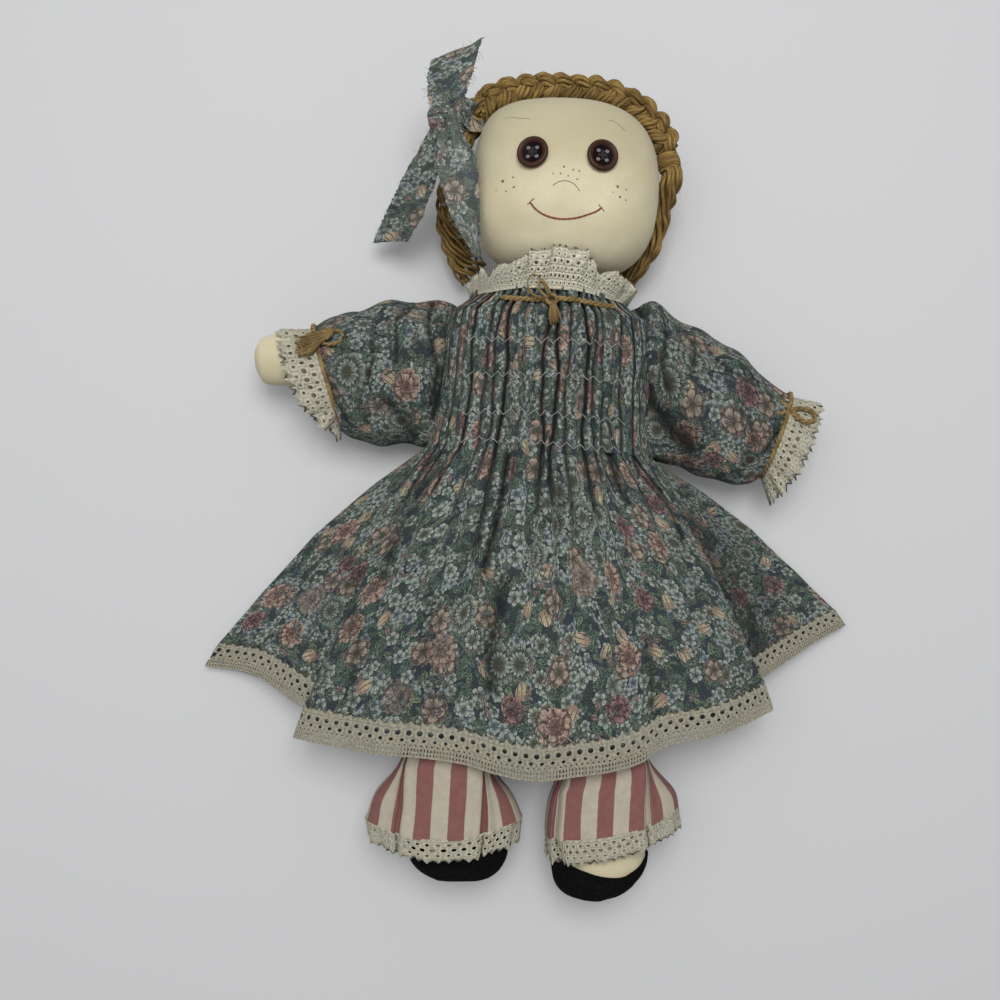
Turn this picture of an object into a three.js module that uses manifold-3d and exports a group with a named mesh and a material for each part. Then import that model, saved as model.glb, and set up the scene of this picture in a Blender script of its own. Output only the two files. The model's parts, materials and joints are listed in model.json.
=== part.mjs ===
// Rag doll lying on its back: millimetres, +Z up, head towards +Y, face up.
// The origin lies under the middle of the bodice, on the surface that the doll lies on.
import * as THREE from 'three';
import { LoftGeometry } from 'three/addons/geometries/LoftGeometry.js';
import { mergeGeometries, mergeVertices } from 'three/addons/utils/BufferGeometryUtils.js';
import Module from 'manifold-3d';

const wasm = await Module();
wasm.setup();

// Driving dimensions

// Cloth, the space between pieces that only touch, and how far cutters run past what they cut.
const cloth = { thickness: 0.8, gap: 0.35, overrun: 30 };

// Height above the surface of the middle of the torso and of the limbs.
const midHeight = 18.5;

// The head sits a little to the doll's left of the torso, as stuffed cloth does.
const head = { x: 4, chinY: 37, width: 74, height: 68, thickness: 56 };
const neck = { width: 20, height: 22.5 };
const button = { x: 12.6, y: 71.5, radius: 5.75, thickness: 2.4, rimWidth: 1.1, rimHeight: 0.7 };
const buttonHole = { radius: 0.65, spacing: 2.9 };
const eyeThread = { radius: 0.28 };

// Twine hair: a braid over the head between two wraps, with loose tails below them.
const braid = { strandRadius: 1.6, halfWidth: 3.1, halfHeight: 2.45, period: 25, height: 32 };
const wrap = { radius: 4.3, length: 6.5 };
const tail = { width: 10, thickness: 10, lowHeight: 14, grooveDepth: 0.9, grooves: 7 };

// Torn strip of the dress cloth, tied round the braid's end on the doll's right.
const ribbon = { width: 16.5, thickness: 1, knotX: -47, knotY: 91.5, knotHeight: 41, knotSize: 13 };

const torso = { topY: 24, bottomY: -62, width: 74, thickness: 34, seamThickness: 5 };
const arm = { rootX: 36.5, rootY: 6, width: 20, thickness: 18 };
const armLeft = { length: 72, drop: 26, wristShare: 0.8 };
const armRight = { length: 81, drop: 10, wristShare: 0.73 };
const leg = { rootY: -62.4, width: 27, thickness: 25, length: 140.3 };
const legLeft = { rootX: 20, shift: 18, flare: 54 };
const legRight = { rootX: -18, shift: -12, flare: 60 };
const shoe = { length: 17.5, width: 38, thickness: 27, wall: 1.2 };

// Dress: smocked bodice, skirt, sleeves, laces and twine cords.
const bodice = { topY: 25, bottomY: -35, width: 86, neckWidth: 64, thickness: 40, waistWidth: 91 };
const pleat = { count: 21, depth: 0.9 };
const smocking = { threadRadius: 0.35, reach: 2, count: 4, firstY: 6, lastY: -31, stitches: 15, endShare: 0.75 };
const armhole = { width: 34, height: 31 };
const sleeve = { rootY: -3, startShare: 0.55, width: 57, thickness: 35, wristWidth: 30, wristThickness: 25 };
const cuff = { lace: 12, width: 46, thickness: 27, cordRadius: 1 };
const collar = { width: 72, lace: 12.5, frontHeight: 49, backHeight: 2.6, waves: 9, waveDepth: 1.1 };
const neckCord = { radius: 1.2, y: 22.4, startX: -20, endX: 26, bowX: 1, loop: 10 };
const skirt = { length: 125.5, leftX: -132, rightX: 131, flatLeft: 66, flatRight: 72, top: 38.2, edge: 3.2 };
const skirtFold = { count: 8, depth: 1.1 };
const hemLace = { width: 11.5 };

// Bloomers: a seat round the lower torso, and a leg with a gathered, lace-edged cuff on each side.
const seat = { topY: -40, bottomY: -84.2, width: 82, thickness: 34 };
const bloomer = { startY: -87, gatherY: -159, endY: -181, width: 37, thickness: 30, gather: 33 };
const bloomerLace = { length: 12 };
const elastic = { radius: 0.6 };

// Counts of facets
const limbSides = 10;
const cordSides = 5;
const headSides = 18;
const headRings = 8;
const torsoSides = 16;

const colours = {
  muslin: 0xc8c0a0,
  stuffing: 0xe6e2d8,
  print: 0x5a6e69,
  lace: 0xbeb9a0,
  twine: 0x9a7440,
  stripes: 0xb08080,
  shoe: 0x17171a,
  button: 0x2a1410,
  thread: 0xd8d6cc,
};

const doll = new THREE.Group();

function addPiece(name, solid, colour, roughness = 0.9) {
  const mesh = solid.getMesh();
  const geometry = new THREE.BufferGeometry();
  geometry.setAttribute('position', new THREE.BufferAttribute(mesh.vertProperties, 3));
  geometry.setIndex(new THREE.BufferAttribute(mesh.triVerts, 1));
  geometry.computeVertexNormals();
  const material = new THREE.MeshStandardMaterial({ color: colour, roughness, metalness: 0 });
  const piece = new THREE.Mesh(geometry, material);
  piece.name = name;
  doll.add(piece);
}

// Welds a closed geometry and gives it as a solid with its faces pointing out.
function solidOf(geometry) {
  const plain = new THREE.BufferGeometry().copy(geometry);
  plain.deleteAttribute('normal');
  plain.deleteAttribute('uv');
  const welded = mergeVertices(plain);
  const vertProperties = new Float32Array(welded.attributes.position.array);
  const triVerts = new Uint32Array(welded.index.array);
  if (signedVolume(vertProperties, triVerts) < 0) {
    for (let i = 0; i < triVerts.length; i += 3) {
      [triVerts[i], triVerts[i + 1]] = [triVerts[i + 1], triVerts[i]];
    }
  }
  return new wasm.Manifold(new wasm.Mesh({ numProp: 3, vertProperties, triVerts }));
}

function signedVolume(positions, triangles) {
  const corner = (i) => new THREE.Vector3().fromArray(positions, 3 * triangles[i]);
  let volume = 0;
  for (let i = 0; i < triangles.length; i += 3) {
    volume += corner(i).dot(corner(i + 1).cross(corner(i + 2)));
  }
  return volume;
}

// Round values

const up = new THREE.Vector3(0, 0, 1);

function at(x, y, z) {
  return new THREE.Vector3(x, y, z);
}

function mix(a, b, t) {
  return a + (b - a) * t;
}

function ease(t) {
  const clamped = Math.min(Math.max(t, 0), 1);
  return clamped * clamped * (3 - 2 * clamped);
}

// A value read from a table of shares at evenly spaced places, with straight lines between them.
function along(shares, t) {
  const place = Math.min(Math.max(t, 0), 1) * (shares.length - 1);
  const i = Math.min(Math.floor(place), shares.length - 2);
  return mix(shares[i], shares[i + 1], place - i);
}

// How full a rounded outline is at t from one end to the other; a higher power is squarer.
function fullness(t, power) {
  return (1 - Math.abs(2 * t - 1) ** power) ** (1 / power);
}

// A ring of points across a limb; side and height are the two directions that it spans.
function ring(centre, side, halfWidth, halfHeight, sides, squareness = 1) {
  const points = [];
  for (let i = 0; i < sides; i += 1) {
    const angle = (2 * Math.PI * i) / sides;
    const across = Math.sign(Math.cos(angle)) * Math.abs(Math.cos(angle)) ** squareness;
    const over = Math.sign(Math.sin(angle)) * Math.abs(Math.sin(angle)) ** squareness;
    const point = centre.clone().addScaledVector(side, across * halfWidth);
    points.push(point.addScaledVector(up, over * halfHeight));
  }
  return points;
}

// A closed loft through rings, each turned so that it winds round the way to the next.
function loft(rings) {
  const [first, second] = rings;
  const onward = middleOf(second).sub(middleOf(first));
  const turned = windingOf(first).dot(onward) < 0 ? rings.map((points) => points.slice().reverse()) : rings;
  return solidOf(new LoftGeometry(turned, { capStart: true, capEnd: true }));
}

function middleOf(points) {
  const sum = new THREE.Vector3();
  for (const point of points) sum.add(point);
  return sum.divideScalar(points.length);
}

// The direction that a ring winds round, as the normal of its area.
function windingOf(points) {
  const normal = new THREE.Vector3();
  points.forEach((point, i) => {
    normal.add(point.clone().cross(points[(i + 1) % points.length]));
  });
  return normal;
}

// A wall between two lists of rings, open at both ends.
function wallLoft(outer, inner) {
  return solidOf(new LoftGeometry([...outer, ...inner.slice().reverse(), outer[0]]));
}

// A thin panel between two lists of rows of points, with a narrow strip at both ends of the rows.
function panelLoft(outerRows, innerRows) {
  const open = { closed: false };
  const columnOf = (rows, i) => rows.map((row) => row.at(i));
  return solidOf(mergeGeometries([
    new LoftGeometry([...outerRows, ...innerRows.slice().reverse(), outerRows[0]], open),
    new LoftGeometry([columnOf(outerRows, 0), columnOf(innerRows, 0)], open),
    new LoftGeometry([columnOf(innerRows, -1), columnOf(outerRows, -1)], open),
  ]));
}

// A round cord along a curve.
function cordAlong(points, radius, steps, closed = false, sides = cordSides) {
  const curve = new THREE.CatmullRomCurve3(points, closed, 'centripetal');
  const frames = curve.computeFrenetFrames(steps, closed);
  const rings = [];
  for (let i = 0; i <= steps; i += 1) {
    const centre = curve.getPointAt(i / steps);
    const corners = [];
    for (let k = 0; k < sides; k += 1) {
      const angle = (2 * Math.PI * k) / sides;
      const corner = centre.clone().addScaledVector(frames.normals[i], radius * Math.cos(angle));
      corners.push(corner.addScaledVector(frames.binormals[i], radius * Math.sin(angle)));
    }
    rings.push(corners);
  }
  if (!closed) return loft(rings);
  rings[steps] = rings[0];
  return solidOf(new LoftGeometry(rings));
}

// A box between two corners.
function boxBetween(low, high) {
  const size = high.clone().sub(low);
  const geometry = new THREE.BoxGeometry(size.x, size.y, size.z);
  geometry.translate(mix(low.x, high.x, 0.5), mix(low.y, high.y, 0.5), mix(low.z, high.z, 0.5));
  return solidOf(geometry);
}

// Half space above or below a height, large enough for any one piece here.
function halfSpace(height, above) {
  const reach = skirt.rightX - skirt.leftX;
  const low = above ? height : height - reach;
  const high = above ? height + reach : height;
  return boxBetween(at(-reach, -reach, low), at(reach, reach, high));
}

// Stuffed pieces

// Rings of a stuffed piece; each row of shares gives the place along it, its width and its thickness.
function stuffedRings(form, inset) {
  const side = at(form.direction.y, -form.direction.x, 0);
  return form.rowShares.map(([place, width, thickness]) => {
    const distance = inset + place * (form.length - 2 * inset);
    const centre = form.root.clone().addScaledVector(form.direction, distance);
    const halfWidth = Math.max(width * form.halfWidth - inset, cloth.thickness);
    const halfHeight = Math.max(thickness * form.halfHeight - inset, cloth.thickness / 2);
    return ring(centre, side, halfWidth, halfHeight, form.sides, form.squareness);
  });
}

// The hollow inside a cloth skin, run out past the end that is sewn on.
function hollow(form) {
  const rings = stuffedRings(form, cloth.thickness);
  rings.unshift(moved(rings[0], form.direction, -cloth.overrun));
  return loft(rings);
}

function moved(points, direction, distance) {
  return points.map((point) => point.clone().addScaledVector(direction, distance));
}

function stuffingOf(form) {
  return loft(stuffedRings(form, cloth.thickness + cloth.gap));
}

// A sock: a skin that is open where it is sewn on.
function sockOf(form) {
  return loft(stuffedRings(form, 0)).subtract(hollow(form));
}

// Front and back panels of a pillow, a gap apart at the seam that runs round its edge.
function pillowPanels(form, seamHeight) {
  const skin = loft(stuffedRings(form, 0)).subtract(loft(stuffedRings(form, cloth.thickness)));
  return {
    front: skin.intersect(halfSpace(seamHeight + cloth.gap / 2, true)),
    back: skin.intersect(halfSpace(seamHeight - cloth.gap / 2, false)),
  };
}

const headMiddle = head.thickness / 2;

const headForm = {
  root: at(head.x, head.chinY, headMiddle),
  direction: at(0, 1, 0),
  length: head.height,
  halfWidth: head.width / 2,
  halfHeight: head.thickness / 2,
  sides: headSides,
  squareness: 1,
  rowShares: Array.from({ length: headRings }, (_, i) => {
    const place = (1 - Math.cos((Math.PI * (i + 0.5)) / headRings)) / 2;
    return [place, fullness(place, 2.6), fullness(place, 2.2)];
  }),
};

// Height of the face above the surface at a place on it.
function faceHeight(x, y) {
  const place = (y - head.chinY) / head.height;
  const across = (x - head.x) / (headForm.halfWidth * fullness(place, 2.6));
  const rise = Math.sqrt(Math.max(1 - across * across, 0));
  return headMiddle + headForm.halfHeight * fullness(place, 2.2) * rise;
}

function makeHead() {
  const panels = pillowPanels(headForm, headMiddle);
  addPiece('face_panel', panels.front, colours.muslin);
  addPiece('head_back_panel', panels.back, colours.muslin);
  addPiece('head_stuffing', stuffingOf(headForm), colours.stuffing);
}

// The neck is a short stuffed roll between torso and head, round seen from the side, so that it can turn.
function makeNeck() {
  const start = torso.topY + cloth.gap;
  const end = head.chinY + headForm.rowShares[0][0] * head.height - cloth.gap;
  const rollOf = (inset) => {
    const roll = new THREE.SphereGeometry((end - start) / 2 - inset, 14, 10);
    roll.rotateZ(Math.PI / 2);
    roll.scale((neck.width - 2 * inset) / (end - start - 2 * inset), 1, 1);
    roll.translate(0, mix(start, end, 0.5), neck.height);
    return solidOf(roll);
  };
  const mouth = new THREE.CylinderGeometry(neck.width / 6, neck.width / 6, cloth.overrun, limbSides);
  mouth.translate(0, mix(start, end, 0.5) - cloth.overrun / 2, neck.height);
  const skin = rollOf(0).subtract(rollOf(cloth.thickness)).subtract(solidOf(mouth));
  addPiece('neck_cloth', skin, colours.muslin);
  addPiece('neck_stuffing', rollOf(cloth.thickness + cloth.gap), colours.stuffing);
}

const torsoForm = {
  root: at(0, torso.topY, midHeight),
  direction: at(0, -1, 0),
  length: torso.topY - torso.bottomY,
  halfWidth: torso.width / 2,
  halfHeight: torso.thickness / 2,
  sides: torsoSides,
  squareness: 0.95,
  rowShares: [
    [0, 0.36, 0.42],
    [0.03, 0.62, 0.62],
    [0.1, 0.9, 0.84],
    [0.25, 0.97, 1],
    [0.6, 0.94, 1],
    [0.82, 0.98, 0.86],
    [0.94, 0.98, 0.5],
    [1, 0.96, torso.seamThickness / torso.thickness],
  ],
};

function makeTorso() {
  const panels = pillowPanels(torsoForm, midHeight);
  addPiece('torso_front_panel', panels.front, colours.muslin);
  addPiece('torso_back_panel', panels.back, colours.muslin);
  addPiece('torso_stuffing', stuffingOf(torsoForm), colours.stuffing);
}

// A round end, so that a limb can turn about the middle of it, as its stuffing lets it.
function domeShares(radiusShare) {
  return [0.2, 0.6, 1].map((share) => {
    const angle = (share * Math.PI) / 2;
    return [radiusShare * (1 - Math.cos(angle)), Math.sin(angle), Math.sin(angle)];
  });
}

function armForm(sign, size) {
  const tip = at(sign * (arm.rootX + size.length), arm.rootY - size.drop, midHeight);
  const root = at(sign * arm.rootX, arm.rootY, midHeight);
  return {
    root,
    direction: tip.clone().sub(root).normalize(),
    wristShare: size.wristShare,
    length: tip.distanceTo(root),
    halfWidth: arm.width / 2,
    halfHeight: arm.thickness / 2,
    sides: limbSides,
    squareness: 1,
    rowShares: [
      ...domeShares(arm.width / 2 / size.length),
      [0.4, 0.95, 0.95],
      [0.7, 0.88, 0.9],
      [0.86, 0.95, 0.92],
      [0.95, 0.78, 0.74],
      [1, 0.4, 0.36],
    ],
  };
}

function legForm(size) {
  const root = at(size.rootX, leg.rootY, midHeight);
  const tip = at(size.rootX + size.shift, leg.rootY - leg.length, midHeight);
  return {
    root,
    direction: tip.clone().sub(root).normalize(),
    length: tip.distanceTo(root),
    halfWidth: leg.width / 2,
    halfHeight: leg.thickness / 2,
    sides: limbSides,
    squareness: 1,
    rowShares: [
      ...domeShares(leg.width / 2 / leg.length),
      [0.5, 0.96, 1],
      [0.86, 0.92, 0.92],
      [0.94, 1.1, 0.92],
      [0.985, 0.9, 0.7],
      [1, 0.5, 0.4],
    ],
  };
}

// The shoe is a cloth cup over the foot, open towards the leg, with a deeper notch at the instep.
function shoeOf(form) {
  const fit = cloth.gap + shoe.wall;
  const cup = (grow, extra) => {
    const wide = {
      ...form,
      length: form.length + grow,
      halfWidth: form.halfWidth + grow,
      halfHeight: form.halfHeight + grow,
      rowShares: form.rowShares.filter(([place]) => place > 0.8).map((row) => row.slice()),
    };
    wide.rowShares[0][0] = 1 - (shoe.length + extra) / wide.length;
    wide.rowShares[0][1] = wide.rowShares[1][1];
    wide.rowShares[0][2] = wide.rowShares[1][2];
    return loft(stuffedRings(wide, 0));
  };
  const toe = form.root.clone().addScaledVector(form.direction, form.length + fit);
  const instep = new THREE.CylinderGeometry(
    shoe.width / 3, shoe.width / 3, shoe.thickness, limbSides,
  );
  instep.rotateX(Math.PI / 2);
  instep.translate(toe.x, toe.y + shoe.length + shoe.width / 6, midHeight + shoe.thickness / 2);
  return cup(fit, 0).subtract(cup(cloth.gap, cloth.overrun)).subtract(solidOf(instep));
}

// Eyes

function makeEye(name, sign) {
  const x = head.x - 1.5 * cloth.thickness + sign * button.x;
  const tilt = Math.atan2(
    faceHeight(x - button.radius, button.y) - faceHeight(x + button.radius, button.y),
    2 * button.radius,
  );
  const place = new THREE.Matrix4().makeRotationY(tilt);
  place.setPosition(x, button.y, faceHeight(x, button.y) - cloth.gap / 2);
  addPiece(`button_eye_${name}`, buttonSolid(place), colours.button, 0.15);
  addPiece(`eye_thread_${name}`, eyeThreadSolid(place), colours.button, 0.7);
}

// A round button: domed back, raised rim, a dished middle with four holes.
function buttonSolid(place) {
  const r = button.radius;
  const dish = button.thickness - button.rimHeight;
  const profile = [
    new THREE.Vector2(0, 0),
    new THREE.Vector2(r * 0.75, 0),
    new THREE.Vector2(r, button.thickness * 0.4),
    new THREE.Vector2(r, button.thickness * 0.8),
    new THREE.Vector2(r - button.rimWidth / 2, button.thickness),
    new THREE.Vector2(r - button.rimWidth, button.thickness * 0.95),
    new THREE.Vector2(r - 1.8 * button.rimWidth, dish),
    new THREE.Vector2(0, dish),
  ];
  const lathe = new THREE.LatheGeometry(profile, 18);
  lathe.rotateX(Math.PI / 2);
  let solid = solidOf(lathe);
  for (const [dx, dy] of holePlaces()) {
    const drill = new THREE.CylinderGeometry(buttonHole.radius, buttonHole.radius, 3 * r, 6);
    drill.rotateX(Math.PI / 2);
    drill.translate(dx, dy, 0);
    solid = solid.subtract(solidOf(drill));
  }
  return solid.transform(place.elements);
}

function holePlaces() {
  const reach = buttonHole.spacing / Math.SQRT2;
  return [[reach, 0], [0, reach], [-reach, 0], [0, -reach]];
}

// Thread in a cross over the button, down through its holes to the face.
function eyeThreadSolid(place) {
  const [a, b, c, d] = holePlaces();
  const high = button.thickness - button.rimHeight + eyeThread.radius + cloth.gap / 2;
  const low = -cloth.gap / 2;
  const stitch = ([ax, ay], [bx, by]) => {
    const points = [at(ax, ay, low), at(ax, ay, high * 0.8), at(ax * 0.8, ay * 0.8, high)];
    points.push(at(bx * 0.8, by * 0.8, high), at(bx, by, high * 0.8), at(bx, by, low));
    return cordAlong(points, eyeThread.radius, 6, false, 4);
  };
  return stitch(a, c).add(stitch(b, d)).transform(place.elements);
}

// Hair

// The braid follows the edge of the head, just outside it. Angles are measured from the doll's left.
const braidStart = THREE.MathUtils.degToRad(24);
const braidEnd = THREE.MathUtils.degToRad(141);

function headEdge(angle, outside) {
  const power = 2.7;
  const c = Math.cos(angle);
  const s = Math.sin(angle);
  const reach = (Math.abs(c) ** power + Math.abs(s) ** power) ** (-1 / power);
  const halfWidth = head.width / 2 + outside;
  const halfHeight = head.height / 2 + outside;
  return at(head.x + c * reach * halfWidth, head.chinY + head.height / 2 + s * reach * halfHeight, 0);
}

const braidOutside = braid.halfWidth + braid.strandRadius + cloth.gap;

function braidCurve() {
  const points = [];
  const steps = 16;
  for (let i = 0; i <= steps; i += 1) {
    const point = headEdge(mix(braidStart, braidEnd, i / steps), braidOutside);
    point.z = braid.height;
    points.push(point);
  }
  return new THREE.CatmullRomCurve3(points);
}

// Three strands, each a third of a turn after the last, that pass over and under one another.
function makeBraid() {
  const curve = braidCurve();
  const length = curve.getLength();
  const turns = length / braid.period;
  const steps = Math.round(turns * 12);
  ['a', 'b', 'c'].forEach((name, strand) => {
    const points = [];
    for (let i = 0; i <= steps; i += 1) {
      const place = i / steps;
      const phase = 2 * Math.PI * (place * turns + strand / 3);
      const tangent = curve.getTangentAt(place);
      const outward = tangent.clone().cross(up);
      const point = curve.getPointAt(place);
      point.addScaledVector(outward, braid.halfWidth * Math.sin(phase));
      point.addScaledVector(up, braid.halfHeight * Math.sin(2 * phase));
      points.push(point);
    }
    addPiece(`braid_strand_${name}`, cordAlong(points, braid.strandRadius, steps), colours.twine);
  });
}

// A wrap is a barrel of twine turns across the end of the braid.
function makeWrap(name, angle, forward) {
  addPiece(`hair_wrap_${name}`, wrapSolid(angle, forward, 0), colours.twine);
  const step = wrapDirection(angle, forward);
  return { end: wrapPlace(angle, forward, 1).addScaledVector(step, cloth.gap), step };
}

function wrapDirection(angle, forward) {
  const start = headEdge(angle, braidOutside);
  return headEdge(angle + forward * 0.01, braidOutside).sub(start).normalize();
}

function wrapPlace(angle, forward, place) {
  const centre = headEdge(angle, braidOutside);
  centre.addScaledVector(wrapDirection(angle, forward), braid.strandRadius + place * wrap.length);
  return centre.setZ(braid.height);
}

function wrapSolid(angle, forward, grow) {
  const step = wrapDirection(angle, forward);
  const side = at(step.y, -step.x, 0);
  return loft([0, 0.12, 0.5, 0.88, 1].map((place) => {
    const size = wrap.radius * mix(0.8, 1, Math.sin(Math.PI * place)) + grow;
    return ring(wrapPlace(angle, forward, place), side, size, size, 10);
  }));
}

// A loose tail of twine: a grooved bundle that falls from the wrap and lies beside the head.
function makeTail(name, from, places, widthShares) {
  const second = from.end.clone().addScaledVector(from.step, wrap.radius / 2);
  const curve = new THREE.CatmullRomCurve3([from.end, second, ...places], false, 'centripetal');
  const steps = 7;
  const sides = 2 * tail.grooves;
  const rings = [];
  for (let i = 0; i <= steps; i += 1) {
    const tangent = curve.getTangentAt(i / steps);
    const side = tangent.clone().cross(up).normalize();
    const over = side.clone().cross(tangent);
    const size = along(widthShares, i / steps);
    rings.push(Array.from({ length: sides }, (_, k) => {
      const angle = (2 * Math.PI * k) / sides;
      const groove = k % 2 === 0 ? tail.grooveDepth * size : 0;
      const point = curve.getPointAt(i / steps);
      point.addScaledVector(side, ((size * tail.width) / 2 - groove) * Math.cos(angle));
      return point.addScaledVector(over, ((size * tail.thickness) / 2 - groove) * Math.sin(angle));
    }));
  }
  addPiece(`hair_tail_${name}`, loft(rings), colours.twine);
}

function makeHair() {
  makeBraid();
  const onLeft = makeWrap('left', braidStart, -1);
  const onRight = makeWrap('right', braidEnd, 1);
  const edge = head.width / 2;
  const low = tail.lowHeight;
  const y = (share) => head.chinY + head.height * share;
  makeTail('left', onLeft, [
    at(head.x + edge * 1.16, y(0.42), low * 1.15),
    at(head.x + edge * 1.02, y(0.2), low),
    at(head.x + edge * 0.62, y(0.01), low * 0.85),
  ], [0.6, 0.85, 0.85, 0.8, 0.65, 0.3]);
  makeTail('right', onRight, [
    at(head.x - edge * 1.27, y(0.62), low * 1.3),
    at(head.x - edge * 1.29, y(0.3), low),
    at(head.x - edge * 1.14, y(0.03), low * 0.85),
  ], [0.6, 1, 1.1, 1.15, 1.1, 0.8]);
}

// Ribbon

// A flat strip along a curve, as wide as its shares say, a little hollow across.
function strip(places, widthShares, facing) {
  const curve = new THREE.CatmullRomCurve3(places, false, 'centripetal');
  const steps = 7;
  const sections = [];
  for (let i = 0; i <= steps; i += 1) {
    const tangent = curve.getTangentAt(i / steps);
    const side = tangent.clone().cross(facing).normalize();
    const over = side.clone().cross(tangent);
    const half = (ribbon.width / 2) * along(widthShares, i / steps);
    const rowAt = (lift) => [-1, -0.4, 0.4, 1].map((share) => {
      const point = curve.getPointAt(i / steps).addScaledVector(side, share * half);
      return point.addScaledVector(over, lift + ribbon.thickness * Math.abs(share));
    });
    sections.push([...rowAt(0), ...rowAt(ribbon.thickness).reverse()]);
  }
  return loft(sections);
}

function makeRibbon() {
  const { knotX, knotY, knotHeight, knotSize } = ribbon;
  const half = knotSize / 2;
  const knotGrown = (extra) => {
    const knot = new THREE.SphereGeometry(half, 10, 8);
    knot.scale(1 + extra / half, 1.15 + extra / half, 0.75 + extra / half);
    knot.translate(knotX, knotY, knotHeight);
    return solidOf(knot);
  };
  addPiece('ribbon_knot', knotGrown(0).add(ribbonBand()), colours.print);
  const around = knotGrown(cloth.gap * 1.3);
  const clear = half * 1.15;
  addPiece('ribbon_end_upper', strip([
    at(knotX, knotY + clear * 0.6, knotHeight),
    at(knotX + half * 0.4, knotY + 2 * knotSize, knotHeight + half / 2),
    at(knotX + knotSize * 1.15, knotY + 2.7 * knotSize, knotHeight + half / 2),
  ], [0.55, 0.95, 1, 0.95, 0.12], up).subtract(around), colours.print);
  addPiece('ribbon_end_lower', strip([
    at(knotX - half * 0.4, knotY - clear * 0.5, knotHeight - half * 0.2),
    at(knotX - 1.3 * knotSize, knotY - 2.2 * knotSize, knotHeight * 0.62),
    at(knotX - 1.95 * knotSize, knotY - 3.6 * knotSize, knotHeight * 0.3),
  ], [0.45, 0.95, 1.05, 1, 0.85], up).subtract(around), colours.print);
  const lean = at(-0.45, 0, 1).normalize();
  const beside = head.x - head.width / 2;
  const lift = knotHeight + 2 * ribbon.thickness;
  addPiece('ribbon_face_strip', strip([
    at(knotX + half * 0.6, knotY - clear * 0.35, knotHeight + half * 0.35),
    at(beside + half * 0.3, knotY - 2 * knotSize, lift + half * 0.3),
    at(beside + half * 0.75, head.chinY + 2 * ribbon.thickness, lift),
  ], [0.3, 0.6, 0.66, 0.6, 0.3], lean).subtract(around), colours.print);
}

// The strip goes from the knot round the wrap at the braid's end, as a band pulled together at the knot.
function ribbonBand() {
  const { knotX, knotY, knotHeight, knotSize } = ribbon;
  const start = at(knotX, knotY, knotHeight);
  const end = wrapPlace(braidEnd, 1, 0.1);
  const toWrap = end.clone().sub(start).normalize();
  const side = at(toWrap.y, -toWrap.x, 0).normalize();
  const rings = [[0, 0.2], [0.5, 0.22], [0.82, 0.2]].map(([place, size]) => (
    ring(start.clone().lerp(end, place), side, knotSize * size, knotSize * size * 0.7, limbSides)
  ));
  return loft(rings).subtract(wrapSolid(braidEnd, 1, cloth.gap));
}

// Dress

// Half width of the bodice at a place from its neckline (0) to its lowest stitches (1).
const bodiceWidthShares = [
  bodice.neckWidth / bodice.width, 0.95, 0.98, 1, 1, 1, 1, 1.01, 1.02, 1.04, bodice.waistWidth / bodice.width,
];
const bodiceHeightShares = [0.98, 1, 1, 0.99, 0.97];

function bodiceHalfWidth(place) {
  return (bodice.width / 2) * along(bodiceWidthShares, place);
}

// A row of the bodice from one side seam to the other, over the front or under the back.
function bodiceRow(place, front, inset) {
  const points = [];
  const columns = front ? 2 * pleat.count : 12;
  const y = mix(bodice.topY, bodice.bottomY, place);
  const halfWidth = bodiceHalfWidth(place) - inset;
  const top = bodice.thickness * along(bodiceHeightShares, place) - midHeight;
  for (let i = 0; i <= columns; i += 1) {
    const angle = Math.PI * (1 - i / columns);
    const across = Math.sign(Math.cos(angle)) * Math.abs(Math.cos(angle)) ** 0.9;
    const over = Math.sin(angle) ** 0.7;
    const inPleat = front && i % 2 === 1 ? pleat.depth * Math.sin(angle) : 0;
    const height = front ? (top - inset - inPleat) * over : -(midHeight - inset) * over;
    const flat = front ? height : Math.max(height * 1.12, -(midHeight - inset));
    const seam = front ? cloth.gap / 2 : -cloth.gap / 2;
    points.push(at(across * halfWidth, y, midHeight + flat + seam * (1 - over)));
  }
  return points;
}

function bodicePanel(front) {
  const rows = [0, 0.1, 0.5, 1];
  const outer = rows.map((place) => bodiceRow(place, front, 0));
  const inner = rows.map((place) => bodiceRow(place, front, cloth.thickness));
  let panel = panelLoft(outer, inner);
  for (const sign of [-1, 1]) {
    panel = panel.subtract(armholeCutter(sign));
  }
  return panel;
}

function armholeCutter(sign) {
  const hole = new THREE.CylinderGeometry(armhole.width / 2, armhole.width / 2, cloth.overrun, limbSides);
  hole.scale(1, 1, armhole.height / armhole.width);
  hole.rotateZ(Math.PI / 2);
  hole.translate(sign * (bodice.width / 2), arm.rootY - sleeve.thickness / 9, midHeight);
  return solidOf(hole);
}

// Zigzag rows of thread that hold the pleats.
function makeSmocking() {
  for (let row = 0; row < smocking.count; row += 1) {
    const y = mix(smocking.firstY, smocking.lastY, row / (smocking.count - 1));
    const place = (y - bodice.topY) / (bodice.bottomY - bodice.topY);
    const top = bodice.thickness * along(bodiceHeightShares, place) - midHeight;
    const lift = smocking.threadRadius + cloth.gap * 2;
    const points = [];
    for (let i = 0; i <= 2 * smocking.stitches; i += 1) {
      const angle = Math.PI * mix(smocking.endShare, 1 - smocking.endShare, i / (2 * smocking.stitches));
      const across = Math.sign(Math.cos(angle)) * Math.abs(Math.cos(angle)) ** 0.9;
      const x = across * (bodiceHalfWidth(place) + lift);
      const z = midHeight + (top + lift) * Math.sin(angle) ** 0.7;
      points.push(at(x, y + (i % 2 ? smocking.reach / 2 : -smocking.reach / 2), z));
    }
    const thread = cordAlong(points, smocking.threadRadius, 2 * smocking.stitches, false, 3);
    addPiece(`smocking_row_${row + 1}`, thread, colours.thread);
  }
}

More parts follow.
